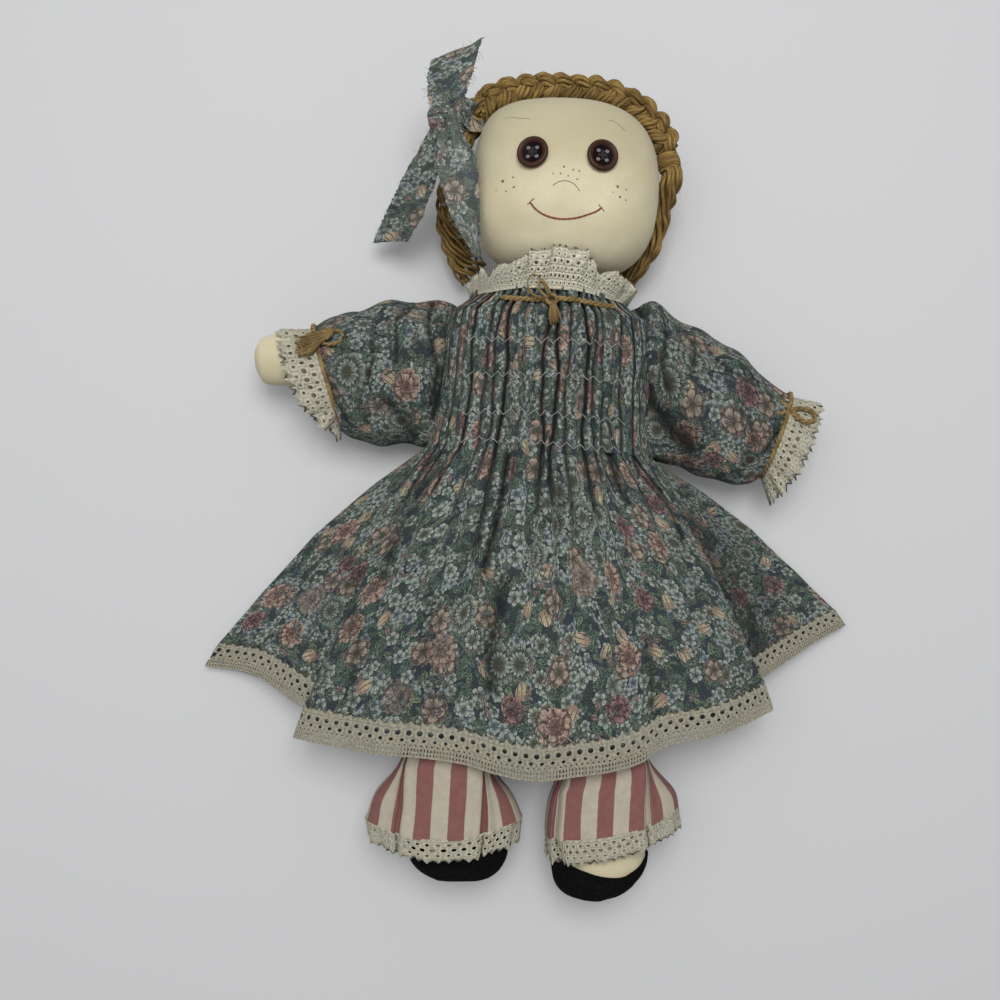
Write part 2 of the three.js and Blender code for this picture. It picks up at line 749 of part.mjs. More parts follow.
// The collar is a ruffle of lace that stands up from the neckline round the neck and the chin.
function makeCollar() {
  const ringAt = (place, inset) => {
    const points = [];
    const sides = 4 * collar.waves;
    for (let i = 0; i < sides; i += 1) {
      const angle = (2 * Math.PI * i) / sides;
      const s = Math.sin(angle);
      const wave = collar.waveDepth * Math.cos(collar.waves * angle) * place;
      const halfWidth = mix(bodice.neckWidth, collar.width, place) / 2 - inset + wave;
      const front = mix(bodice.thickness, collar.frontHeight, place) - inset + wave;
      const back = mix(cloth.thickness, collar.backHeight, place) + inset;
      const z = midHeight + (s > 0 ? (front - midHeight) * s ** 0.7 : -(midHeight - back) * (-s) ** 0.7);
      const rise = collar.lace * place * mix(0.8, 1, Math.abs(s));
      const start = bodice.topY + cloth.gap;
      points.push(at(Math.cos(angle) * halfWidth, start + rise, z));
    }
    return points;
  };
  const places = [0, 0.5, 1];
  const outer = places.map((place) => ringAt(place, 0));
  const inner = places.map((place) => ringAt(place, cloth.thickness));
  addPiece('collar_lace', wallLoft(outer, inner), colours.lace);
}

// A bow of twine: two loops and two ends, joined to a cord at one place.
function bowSolid(centre, loopLength, radius, spread) {
  const side = spread.clone();
  const away = side.clone().cross(up).normalize();
  const rise = radius * 2;
  const point = (a, b, c) => centre.clone()
    .addScaledVector(side, a * loopLength)
    .addScaledVector(away, b * loopLength)
    .addScaledVector(up, c * rise);
  const loopPoints = (sign) => [
    point(0, 0, 0.4), point(sign * 0.55, 0.42, 1), point(sign, 0.25, 0.6), point(sign * 0.8, -0.12, 0.4),
    point(sign * 0.3, -0.1, 0.5),
  ];
  const endPoints = (sign) => [point(0, 0, 0.3), point(sign * 0.3, 0.5, 0.2), point(sign * 0.5, 0.95, 0)];
  let bow = cordAlong(loopPoints(-1), radius, 7, true, 3);
  bow = bow.add(cordAlong(loopPoints(1), radius, 7, true, 3));
  bow = bow.add(cordAlong(endPoints(-1), radius, 3, false, 3));
  bow = bow.add(cordAlong(endPoints(1), radius, 3, false, 3));
  const knot = new THREE.SphereGeometry(radius * 1.9, 5, 4);
  knot.translate(centre.x, centre.y, centre.z);
  return bow.add(solidOf(knot));
}

// The drawstring comes out of the neckline at both sides of the bow.
function makeNeckCord() {
  const points = [];
  const steps = 8;
  for (let i = 0; i <= steps; i += 1) {
    const x = mix(neckCord.startX, neckCord.endX, i / steps);
    points.push(at(x, neckCord.y, bodiceFrontHeight(x) + neckCord.radius + cloth.gap));
  }
  const lift = bodiceFrontHeight(neckCord.bowX) + neckCord.radius * 2.4;
  const centre = at(neckCord.bowX, neckCord.y, lift);
  const bow = bowSolid(centre, neckCord.loop, neckCord.radius * 0.8, at(1, 0, 0));
  addPiece('neck_drawstring', cordAlong(points, neckCord.radius, steps).add(bow), colours.twine);
}

// Height of the outside of the bodice front near the neckline.
function bodiceFrontHeight(x) {
  const place = (neckCord.y - bodice.topY) / (bodice.bottomY - bodice.topY);
  const share = Math.min(Math.abs(x) / bodiceHalfWidth(place), 1);
  const sine = Math.sqrt(1 - share ** (2 / 0.9));
  const top = bodice.thickness * along(bodiceHeightShares, place) - midHeight;
  return midHeight + top * sine ** 0.7;
}

// The bodice filled in and grown by the gap, for cutting what is sewn on at its sides.
function bodiceCore() {
  const rings = [0, 0.1, 0.5, 1].map((place) => {
    const front = bodiceRow(place, true, -cloth.gap).filter((_, i) => i % 2 === 0);
    const back = bodiceRow(place, false, -cloth.gap).reverse().slice(1, -1);
    return [...front, ...back];
  });
  return loft(rings);
}

// Sleeves

// A sleeve follows the arm: wide at the bodice, gathered at the wrist by a cord, with lace beyond.
function sleeveRings(sign, form, inset, shares) {
  const wrist = wristPlace(form);
  const root = at((sign * sleeve.startShare * bodice.width) / 2, sleeve.rootY, midHeight);
  return shares.map(([place, width, thickness]) => {
    const centre = root.clone().lerp(wrist, place);
    const turn = ease(place);
    const across = at(0, sign, 0).lerp(at(form.direction.y, -form.direction.x, 0).negate(), turn);
    const halfWidth = (width * sleeve.width) / 2 - inset;
    const halfHeight = (thickness * sleeve.thickness) / 2 - inset;
    return ring(centre, across.normalize(), halfWidth, halfHeight, 14, 0.9);
  });
}

function wristPlace(form) {
  return form.root.clone().addScaledVector(form.direction, form.length * form.wristShare);
}

const sleeveShares = [
  [0, 0.93, 0.9],
  [0.3, 0.98, 0.98],
  [0.6, 1, 1],
  [0.84, 0.87, 0.92],
  [0.96, 0.62, 0.78],
  [1, sleeve.wristWidth / sleeve.width, sleeve.wristThickness / sleeve.thickness],
];

function makeArm(name, sign, size) {
  const form = armForm(sign, size);
  addPiece(`arm_cloth_${name}`, sockOf(form), colours.muslin);
  addPiece(`arm_stuffing_${name}`, stuffingOf(form), colours.stuffing);
  const outer = sleeveRings(sign, form, 0, sleeveShares);
  const inner = sleeveRings(sign, form, cloth.thickness, sleeveShares);
  addPiece(`sleeve_${name}`, wallLoft(outer, inner).subtract(bodiceCore()), colours.print);
  makeCuff(name, sign, form);
}

function makeCuff(name, sign, form) {
  const wrist = wristPlace(form);
  const across = at(form.direction.y, -form.direction.x, 0);
  const ringAt = (distance, width, thickness, inset) => {
    const centre = wrist.clone().addScaledVector(form.direction, distance);
    return ring(centre, across, width / 2 - inset, thickness / 2 - inset, 24, 0.9);
  };
  const laceRings = (inset) => [
    ringAt(cloth.gap, sleeve.wristWidth, sleeve.wristThickness, inset),
    ringAt(cuff.lace / 2, mix(sleeve.wristWidth, cuff.width, 0.6), cuff.thickness, inset),
    ringAt(cuff.lace, cuff.width, cuff.thickness, inset),
  ];
  addPiece(`cuff_lace_${name}`, wallLoft(laceRings(0), laceRings(cloth.thickness)), colours.lace);
  const out = cuff.cordRadius + cloth.gap;
  const loopPoints = ringAt(out, sleeve.wristWidth + 4.5 * out, sleeve.wristThickness + 4.5 * out, 0);
  const cord = cordAlong(loopPoints.filter((_, i) => i % 2 === 0), cuff.cordRadius, 14, true, 4);
  const top = at(wrist.x, wrist.y, midHeight + sleeve.wristThickness / 2 + 2 * out);
  top.addScaledVector(form.direction, out);
  const spread = up.clone().cross(form.direction);
  const bow = bowSolid(top, neckCord.loop * 0.9, cuff.cordRadius * 0.8, spread);
  addPiece(`cuff_cord_${name}`, cord.add(bow), colours.twine);
}

// Skirt

const waistY = bodice.bottomY - cloth.gap;

// Where the hem is, from the doll's right tip to its left tip, as shares of the skirt's length.
const hemShares = [0.745, 0.765, 0.85, 0.95, 0.965, 1, 0.985, 0.935, 0.86, 0.8, 0.66, 0.49];
const fabricShare = 1 - hemLace.width / skirt.length;

// One row of the skirt, from one tip to the other: over the front, or along the back.
function skirtRow(place, front, inset) {
  const columns = 20;
  const points = [];
  for (let i = 0; i <= columns; i += 1) {
    const share = i / columns;
    const angle = Math.PI * (1 - share);
    const waistX = (Math.cos(angle) * bodice.waistWidth) / 2;
    const hemX = mix(skirt.leftX, skirt.rightX, share);
    const flare = place ** mix(0.68, 0.82, share);
    const shrink = 1 - inset / (bodice.waistWidth / 2);
    const x = mix(waistX, hemX, flare) * shrink;
    const y = mix(waistY, waistY - skirt.length * along(hemShares, share), place);
    const z = front ? skirtFront(place, share, x, inset) : skirtBack(place, share, inset);
    points.push(at(x, y, z));
  }
  return points;
}

function skirtFront(place, share, x, inset) {
  const waist = Math.sin(Math.PI * share) ** 0.7;
  const flat = x < 0 ? skirt.flatLeft : skirt.flatRight;
  const tip = x < 0 ? -skirt.leftX : skirt.rightX;
  const beyond = (Math.abs(x) - flat) / (tip - flat);
  const draped = 1 - ease(beyond) ** 0.8;
  const shape = mix(waist, draped, ease(place * 2.2));
  const edge = mix(midHeight + cloth.gap / 2, skirt.edge, ease(place * 3));
  const top = mix(bodice.thickness * bodiceHeightShares.at(-1), skirt.top, ease(place * 3));
  const fold = skirtFold.depth * ease(place * 1.5) * Math.cos(2 * Math.PI * skirtFold.count * share);
  const lining = inset * mix(shape, 1, ease(place * 3));
  return mix(edge, top, shape) + (fold + skirtFold.depth) * shape - lining;
}

function skirtBack(place, share, inset) {
  const low = skirt.edge - 2 * (cloth.thickness + cloth.gap);
  const edge = mix(midHeight - cloth.gap / 2, low, ease(place * 3));
  const rise = Math.abs(2 * share - 1) ** mix(7, 24, ease(place * 3));
  return edge * rise + inset * mix(1 - rise, 1, ease(place * 3));
}

function skirtPanel(front) {
  const places = [0, 0.1, 0.25, 0.45, 0.7, 1].map((share) => share * fabricShare);
  const outer = places.map((place) => skirtRow(place, front, 0));
  const inner = places.map((place) => skirtRow(place, front, cloth.thickness));
  return panelLoft(outer, inner);
}

// The hem lace goes on where the cloth ends, round the whole hem.
function makeHemLace() {
  const places = [fabricShare + (2 * cloth.gap) / skirt.length, 1];
  const ringAt = (place, inset) => {
    const front = skirtRow(place, true, inset);
    const back = skirtRow(place, false, inset);
    return [...front, ...back.reverse()];
  };
  const outer = places.map((place) => ringAt(place, 0));
  const inner = places.map((place) => ringAt(place, cloth.thickness));
  addPiece('hem_lace', wallLoft(outer, inner), colours.lace);
}

// Bloomers

function makeSeat() {
  const rings = (inset) => [0, 0.15, 0.6, 1].map((place) => {
    const centre = at(mix(0, legMiddle(), place), mix(seat.topY, seat.bottomY, place), midHeight);
    const size = mix(0.97, 1, Math.sin(Math.PI * place));
    const halfHeight = (seat.thickness * mix(1, 0.9, place)) / 2 - inset;
    return ring(centre, at(1, 0, 0), (size * seat.width) / 2 - inset, halfHeight, 20, 0.8);
  });
  addPiece('bloomers_seat', wallLoft(rings(0), rings(cloth.thickness)), colours.stripes);
}

function legMiddle() {
  return (legLeft.rootX + legRight.rootX) / 2;
}

// Rings of a bloomer leg or its lace; rows give a place along Y, a width and a thickness.
function legRings(form, rows, inset, sides = 16) {
  return rows.map(([y, width, thickness]) => {
    const distance = (form.root.y - y) / -form.direction.y;
    const centre = form.root.clone().addScaledVector(form.direction, distance);
    const side = at(-form.direction.y, form.direction.x, 0);
    return ring(centre, side, width / 2 - inset, thickness / 2 - inset, sides, 0.9);
  });
}

// Thickness of a limb at a place along Y, read from its rows of shares.
function thicknessAt(form, y) {
  const place = (form.root.y - y) / -form.direction.y / form.length;
  const next = form.rowShares.findIndex((row) => row[0] > place);
  const [before, after] = [form.rowShares[next - 1], form.rowShares[next]];
  const share = mix(before[2], after[2], (place - before[0]) / (after[0] - before[0]));
  return 2 * share * form.halfHeight;
}

function makeLeg(name, size) {
  const form = legForm(size);
  addPiece(`leg_cloth_${name}`, sockOf(form), colours.muslin);
  addPiece(`leg_stuffing_${name}`, stuffingOf(form), colours.stuffing);
  addPiece(`shoe_${name}`, shoeOf(form), colours.shoe);
  const { startY, gatherY, endY, width, thickness, gather } = bloomer;
  const { flare } = size;
  const snug = thicknessAt(form, gatherY) + 2 * (cloth.thickness + cloth.gap);
  const flareAt = (place) => mix(gather, flare, ease(place));
  const legRows = [
    [startY, width * 0.92, thickness * 0.96],
    [mix(startY, gatherY, 0.3), width, thickness],
    [mix(startY, gatherY, 0.85), width, thickness],
    [gatherY, gather, snug],
    [mix(gatherY, endY, 0.5), flareAt(0.55), thickness],
    [endY, flare, thickness * 1.06],
  ];
  const legWall = wallLoft(legRings(form, legRows, 0), legRings(form, legRows, cloth.thickness));
  addPiece(`bloomers_leg_${name}`, legWall, colours.stripes);
  const laceRows = [
    [endY - cloth.gap, flare, thickness * 1.06],
    [endY - bloomerLace.length, flare * 0.97, thickness * 1.06],
  ];
  const laceWall = wallLoft(legRings(form, laceRows, 0), legRings(form, laceRows, cloth.thickness));
  addPiece(`bloomers_lace_${name}`, laceWall, colours.lace);
  const out = elastic.radius + cloth.gap;
  const row = [gatherY, gather + 3.6 * out, snug + 3 * out];
  const [loop] = legRings(form, [row], 0, 12);
  addPiece(`gather_thread_${name}`, cordAlong(loop, elastic.radius, 12, true, 4), colours.thread);
}

makeTorso();
makeNeck();
makeHead();
makeEye('left', 1);
makeEye('right', -1);
makeHair();
makeRibbon();
addPiece('bodice_front', bodicePanel(true), colours.print);
addPiece('bodice_back', bodicePanel(false), colours.print);
makeSmocking();
makeCollar();
makeNeckCord();
makeArm('left', 1, armLeft);
makeArm('right', -1, armRight);
addPiece('skirt_front', skirtPanel(true), colours.print);
addPiece('skirt_back', skirtPanel(false), colours.print);
makeHemLace();
makeSeat();
makeLeg('left', legLeft);
makeLeg('right', legRight);

export default doll;
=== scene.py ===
"""Rag doll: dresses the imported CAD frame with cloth, lace, twine and stitches. Lengths here are in millimetres."""
import json
import math

import bpy
import numpy as np
from mathutils import Matrix, Vector


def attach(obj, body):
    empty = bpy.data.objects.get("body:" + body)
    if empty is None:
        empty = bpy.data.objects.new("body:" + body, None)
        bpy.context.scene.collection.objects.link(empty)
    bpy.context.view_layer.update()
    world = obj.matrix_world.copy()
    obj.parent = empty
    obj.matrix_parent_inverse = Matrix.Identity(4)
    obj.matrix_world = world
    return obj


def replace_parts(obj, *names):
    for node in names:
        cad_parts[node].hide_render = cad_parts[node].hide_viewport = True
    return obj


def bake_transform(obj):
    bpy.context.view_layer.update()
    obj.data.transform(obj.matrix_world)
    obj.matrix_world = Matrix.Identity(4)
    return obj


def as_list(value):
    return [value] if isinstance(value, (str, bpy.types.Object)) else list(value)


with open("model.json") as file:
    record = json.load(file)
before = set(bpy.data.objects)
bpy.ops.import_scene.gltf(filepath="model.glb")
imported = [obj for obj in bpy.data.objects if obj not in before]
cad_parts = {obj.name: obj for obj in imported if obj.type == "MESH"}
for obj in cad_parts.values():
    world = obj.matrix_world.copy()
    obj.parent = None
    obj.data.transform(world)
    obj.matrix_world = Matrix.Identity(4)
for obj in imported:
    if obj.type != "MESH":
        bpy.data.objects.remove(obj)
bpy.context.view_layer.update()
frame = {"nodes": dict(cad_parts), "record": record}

MM = 0.001
TAU = 2 * math.pi
SHEET = 0.35  # thickness of ribbon and lace
HEM_SHEET = 0.45
FIBRE = 0.05  # radius of a loose fibre of twine
WAVES = 7  # waves that a ripple adds up
UV_UNIT = 100.0  # millimetres of cloth in one unit of the UV map
MID = 18.5  # height of the middle of the body and limbs above the floor


# Camera, floor and light

# The camera's place, the point that it looks at, and the direction of the photograph's rows.
EYE, AIM, ACROSS = np.array((-13.0, -82.4, 419.0)), np.array((-14.8, -53.1, 0.0)), np.array((0.9982, 0.0599, 0.0))
FOCAL, CENTRE = 1000, 500  # focal length and middle of the photograph, in its pixels
FILM = 36

# Lamps: name, place and side in metres, and power.
LAMPS = (("key", (0.05, 0.24, 0.97), 0.5, 7.3), ("fill", (-0.4, 0.1, 1.0), 0.8, 3.0))
LAMPS_AIM = Vector((0, -0.05, 0))
SKY, SKY_STRENGTH = (0.96, 0.98, 1, 1), 0.42
PAPER, PAPER_SEEN, SEEN_SHARE = (0.50, 0.50, 0.505), (0.60, 0.60, 0.598), 0.12


def camera_axes():
    """The camera's directions to its right, up and back."""
    back = (EYE - AIM) / np.linalg.norm(EYE - AIM)
    right = ACROSS - back * ACROSS.dot(back)
    right = right / np.linalg.norm(right)
    return right, np.cross(back, right), back


def seen_at(px, py, height):
    """Where the line of sight through a place in the photograph, in its pixels, passes a height in millimetres."""
    right, up, back = camera_axes()
    px, py, height = np.broadcast_arrays(*(np.asarray(v, float) for v in (px, py, height)))
    ray = (px[..., None] - CENTRE) / FOCAL * right + (CENTRE - py[..., None]) / FOCAL * up - back
    return EYE + ray * ((height - EYE[2]) / ray[..., 2])[..., None]


def make_camera():
    place = Vector(EYE) * MM
    right, up, back = (Vector(v) for v in camera_axes())
    data = bpy.data.cameras.new("camera")
    data.lens, data.sensor_width, data.sensor_height = FILM * FOCAL / (2 * CENTRE), FILM, FILM
    data.sensor_fit = "HORIZONTAL"
    data.clip_start, data.clip_end = 0.01, 20
    cam = bpy.data.objects.new("camera", data)
    cam.matrix_world = Matrix((
        (right.x, up.x, back.x, place.x),
        (right.y, up.y, back.y, place.y),
        (right.z, up.z, back.z, place.z),
        (0, 0, 0, 1),
    ))
    bpy.context.collection.objects.link(cam)
    bpy.context.scene.camera = cam


def area_light(name, where, size, power):
    data = bpy.data.lights.new(name, "AREA")
    data.shape, data.size, data.energy = "SQUARE", size, power
    lamp = bpy.data.objects.new(name, data)
    lamp.location = where
    lamp.rotation_euler = (LAMPS_AIM - Vector(where)).to_track_quat("-Z", "Y").to_euler()
    bpy.context.collection.objects.link(lamp)


def make_stage():
    scene = bpy.context.scene
    scene.view_settings.view_transform = "Standard"
    world = bpy.data.worlds.new("world")
    scene.world = world
    world.use_nodes = True
    background = world.node_tree.nodes["Background"]
    background.inputs["Color"].default_value = SKY
    background.inputs["Strength"].default_value = SKY_STRENGTH
    for lamp in LAMPS:
        area_light(*lamp)
    bpy.ops.mesh.primitive_plane_add(size=6, location=(0, 0, -0.0002))
    floor = bpy.context.object
    floor.name = "floor"
    paper = Mat("floor_paper", PAPER, 0.85)
    paper.seen_as(PAPER_SEEN, SEEN_SHARE)
    floor.data.materials.append(paper.mat)


# Shader sums, written as Python sums

class V:
    """An output socket of one of a material's nodes."""

    def __init__(self, m, socket):
        self.m, self.s = m, socket

    def __add__(self, o): return self.m.math("ADD", self, o)
    def __radd__(self, o): return self.m.math("ADD", self, o)
    def __sub__(self, o): return self.m.math("SUBTRACT", self, o)
    def __rsub__(self, o): return self.m.math("SUBTRACT", o, self)
    def __mul__(self, o): return self.m.math("MULTIPLY", self, o)
    def __rmul__(self, o): return self.m.math("MULTIPLY", self, o)
    def __truediv__(self, o): return self.m.math("DIVIDE", self, o)
    def __abs__(self): return self.m.math("ABSOLUTE", self)


def sin(v):
    return v.m.math("SINE", v)


def cos(v):
    return v.m.math("COSINE", v)


class Mat:
    """A material with a Principled shader and helpers that add nodes to it."""

    def __init__(self, name, colour, rough=0.9, sheen=0.0, specular=0.3):
        self.mat = bpy.data.materials.new(name)
        self.mat.use_nodes = True
        self.mat.diffuse_color = (*colour, 1)
        self.tree = self.mat.node_tree
        self.bsdf = self.tree.nodes["Principled BSDF"]
        self.bsdf.inputs["Base Color"].default_value = (*colour, 1)
        self.bsdf.inputs["Roughness"].default_value = rough
        self.bsdf.inputs["Specular IOR Level"].default_value = specular
        if sheen:
            self.bsdf.inputs["Sheen Weight"].default_value = sheen
            self.bsdf.inputs["Sheen Roughness"].default_value = 0.6

    def node(self, kind, **props):
        n = self.tree.nodes.new("ShaderNode" + kind)
        for k, v in props.items():
            setattr(n, k, v)
        return n

    def put(self, socket, value):
        if isinstance(value, V):
            self.tree.links.new(value.s, socket)
        elif isinstance(value, (tuple, list)) and len(value) == 3 and len(socket.default_value) == 4:
            socket.default_value = (*value, 1)
        else:
            socket.default_value = value

    def math(self, op, *args):
        n = self.node("Math", operation=op)
        for socket, value in zip(n.inputs, args):
            self.put(socket, value)
        return V(self, n.outputs[0])

    def vmath(self, op, a, b):
        n = self.node("VectorMath", operation=op)
        self.put(n.inputs[0], a)
        self.put(n.inputs[3 if op == "SCALE" else 1], b)
        return V(self, n.outputs[0])

    def uv(self):
        """The cloth's own coordinates, in millimetres."""
        n = self.node("UVMap", uv_map="UVMap")
        return self.vmath("SCALE", V(self, n.outputs[0]), UV_UNIT)

    def place(self):
        """The place in the object, in millimetres."""
        n = self.node("TexCoord")
        return self.vmath("SCALE", V(self, n.outputs["Object"]), 1000.0)

    def split(self, v):
        n = self.node("SeparateXYZ")
        self.put(n.inputs[0], v)
        return [V(self, s) for s in n.outputs]

    def join(self, x, y, z=0.0):
        n = self.node("CombineXYZ")
        for socket, value in zip(n.inputs, (x, y, z)):
            self.put(socket, value)
        return V(self, n.outputs[0])

    def noise(self, v, scale, detail=3.0, rough=0.55, dims="2D"):
        n = self.node("TexNoise", noise_dimensions=dims)
        self.put(n.inputs["Vector"], v)
        n.inputs["Scale"].default_value = scale
        n.inputs["Detail"].default_value = detail
        n.inputs["Roughness"].default_value = rough
        return V(self, n.outputs[0])

    def step(self, x, low, high):
        n = self.node("MapRange", interpolation_type="SMOOTHSTEP")
        for socket, value in zip(n.inputs, (x, low, high)):
            self.put(socket, value)
        return V(self, n.outputs[0])

    def mix(self, t, a, b):
        n = self.node("Mix", data_type="RGBA")
        for i, value in ((0, t), (6, a), (7, b)):
            self.put(n.inputs[i], value)
        return V(self, n.outputs[2])

    def cells(self, p, size, shift, spread=0.75):
        """The nearest of many scattered points: distance and angle from it, and three random values of its own."""
        q = self.vmath("ADD", self.vmath("SCALE", p, 1.0 / size), (shift, shift * 1.7, 0.0))
        n = self.node("TexVoronoi", voronoi_dimensions="2D")
        self.put(n.inputs["Vector"], q)
        n.inputs["Scale"].default_value = 1.0
        n.inputs["Randomness"].default_value = spread
        off = self.vmath("SCALE", self.vmath("SUBTRACT", q, V(self, n.outputs["Position"])), float(size))
        x, y, _ = self.split(off)
        c = self.node("SeparateColor")
        self.put(c.inputs[0], V(self, n.outputs["Color"]))
        rnd = [V(self, s) for s in c.outputs]
        turn = rnd[0] * TAU
        r = self.math("SQRT", x * x + y * y)
        return r, self.math("ARCTAN2", y, x) + turn, rnd

    def colour(self, value):
        self.put(self.bsdf.inputs["Base Color"], value)

    def bump(self, height, distance, strength=1.0):
        n = self.node("Bump")
        n.inputs["Strength"].default_value = strength
        n.inputs["Distance"].default_value = distance * MM
        self.put(n.inputs["Height"], height)
        self.tree.links.new(n.outputs[0], self.bsdf.inputs["Normal"])

    def seen_as(self, colour, share):
        """Mixes a share of a plain colour into what the camera sees, and leaves it as it is for everything else."""
        path = self.node("LightPath")
        glow = self.node("Emission")
        glow.inputs["Color"].default_value = (*colour, 1)
        both = self.node("MixShader")
        self.put(both.inputs[0], V(self, path.outputs["Is Camera Ray"]) * share)
        self.tree.links.new(self.bsdf.outputs[0], both.inputs[1])
        self.tree.links.new(glow.outputs[0], both.inputs[2])
        self.tree.links.new(both.outputs[0], self.tree.nodes["Material Output"].inputs["Surface"])


def weave(m, p, pitch):
    """Height of a plain weave of threads, pitch apart."""
    x, y, _ = m.split(p)
    k = TAU / pitch
    return sin(x * k) * sin(y * k) + m.noise(p, 0.5 / pitch, 2.0) * 1.2


def leaf_layer(m, p, under, size, shift, tones, share=1.0, slim=0.2):
    """Scattered leaves: tones are the shade, the lit parts and the outline."""
    r, a, rnd = m.cells(p, size, shift, 0.9)
    x = r * cos(a)
    y = r * sin(a) + x * x * (0.10 / size)
    long = size * 0.54
    body = 1 - x * x * (1 / long ** 2)
    teeth = abs(sin(x * 2.4)) * 0.22
    edge = body * (size * slim) + teeth
    far = edge - abs(y)
    inside = m.step(far, -0.05, 0.15)
    rim = m.step(far, 0.12, 0.42)
    vein = m.step(abs(y), 0.04, 0.26)
    barbs = sin(x * 4.2 + abs(y) * 4.0)
    tone = m.mix(m.step(barbs + rnd[1] * 1.6 - 0.4, -0.5, 1.1), tones[0], tones[1])
    tone = m.mix(vein * rim, tones[2], tone)
    there = m.step(rnd[2], 1 - share, 1 - share + 0.01)
    return m.mix(inside * there, under, tone)


def chosen(m, rnd, chance):
    """1 where a cell's own random value lies between the two values of chance."""
    return m.step(rnd[2], chance[0], chance[0] + 0.01) * (1 - m.step(rnd[2], chance[1], chance[1] + 0.01))


def bloom_layer(m, p, under, size, shift, radius, petals, tones, heart, chance, rings, ruffle, cut, spiral=0):
    """Scattered flowers of layered petals.

    tones are the petals' tips, bodies and creases, heart the colour and size of the middle, and chance the share of
    the places that have this flower, from and to.
    """
    r, a, rnd = m.cells(p, size, shift, 0.62)
    big = radius * 0.84 + rnd[1] * (radius * 0.20)
    out = r / big
    if ruffle:
        out = out + (m.noise(p, 0.62, 2.0) - 0.5) * ruffle
    ring = m.math("FLOOR", out * rings)
    lobe = abs(cos(a * (petals / 2) + ring * 1.9 + rnd[0] * 3.0))
    lobe = m.math("POWER", lobe, 0.6)
    q = out * rings + (1 - lobe) * (cut * rings)
    inside = 1 - m.step(q, rings * 0.95, rings * 0.99)
    place = m.math("FRACT", q * 0.999 + a * (spiral / TAU))
    fine = sin(a * (petals * 2.5)) * 0.16 + (m.noise(p, 1.7, 2.0) - 0.5) * 0.8
    tone = m.mix(m.step(place + fine, 0.30, 0.95), tones[1], tones[0])
    crease = m.step(place + fine * 0.35, 0.02, 0.34) * m.step(lobe, 0.30, 0.62)
    tone = m.mix(crease, tones[2], tone)
    tone = m.mix(m.step(place, 0.90, 0.98), tone, m.mix(0.45, tones[2], tones[1]))
    tone = m.mix(m.step(out + (m.noise(p, 1.3, 2.0) - 0.5) * 0.5, 0.70, 0.12) * 0.75, tone, tones[2])
    colour, share = heart
    tone = m.mix(m.step(out + (m.noise(p, 2.4, 1.0) - 0.5) * 0.25, share * 0.8, share * 1.25), colour, tone)
    return m.mix(inside * chosen(m, rnd, chance), under, tone)


def bud_layer(m, p, under, size, shift, tones, chance):
    """Scattered ribbed buds: tones are the ribs, the lit end and the creases."""
    r, a, rnd = m.cells(p, size, shift, 0.7)
    x = r * cos(a)
    y = r * sin(a)
    wide = 2.7 + x * 0.25
    shape = x * x * (1 / 3.5 ** 2) + (y / wide) * (y / wide) + abs(sin(y * 1.7)) * 0.25
    inside = 1 - m.step(shape, 0.92, 1.05)
    ribs = abs(sin(y * 1.75 + sin(x * 0.7) * 0.4))
    tone = m.mix(m.step(ribs + (m.noise(p, 1.8, 2.0) - 0.5) * 0.6, 0.10, 0.55), tones[2], tones[0])
    tone = m.mix(m.step(x + (ribs - 0.5) * 2.0, 0.0, 3.2), tone, tones[1])
    return m.mix(inside * chosen(m, rnd, chance), under, tone)


def ink(m, p, scale, width):
    """Thin winding lines, as of a pen: 0 on a line, 1 away from it."""
    away = abs(m.noise(p, scale, 1.5, 0.4) - 0.5)
    return m.step(away, width * 0.25, width)


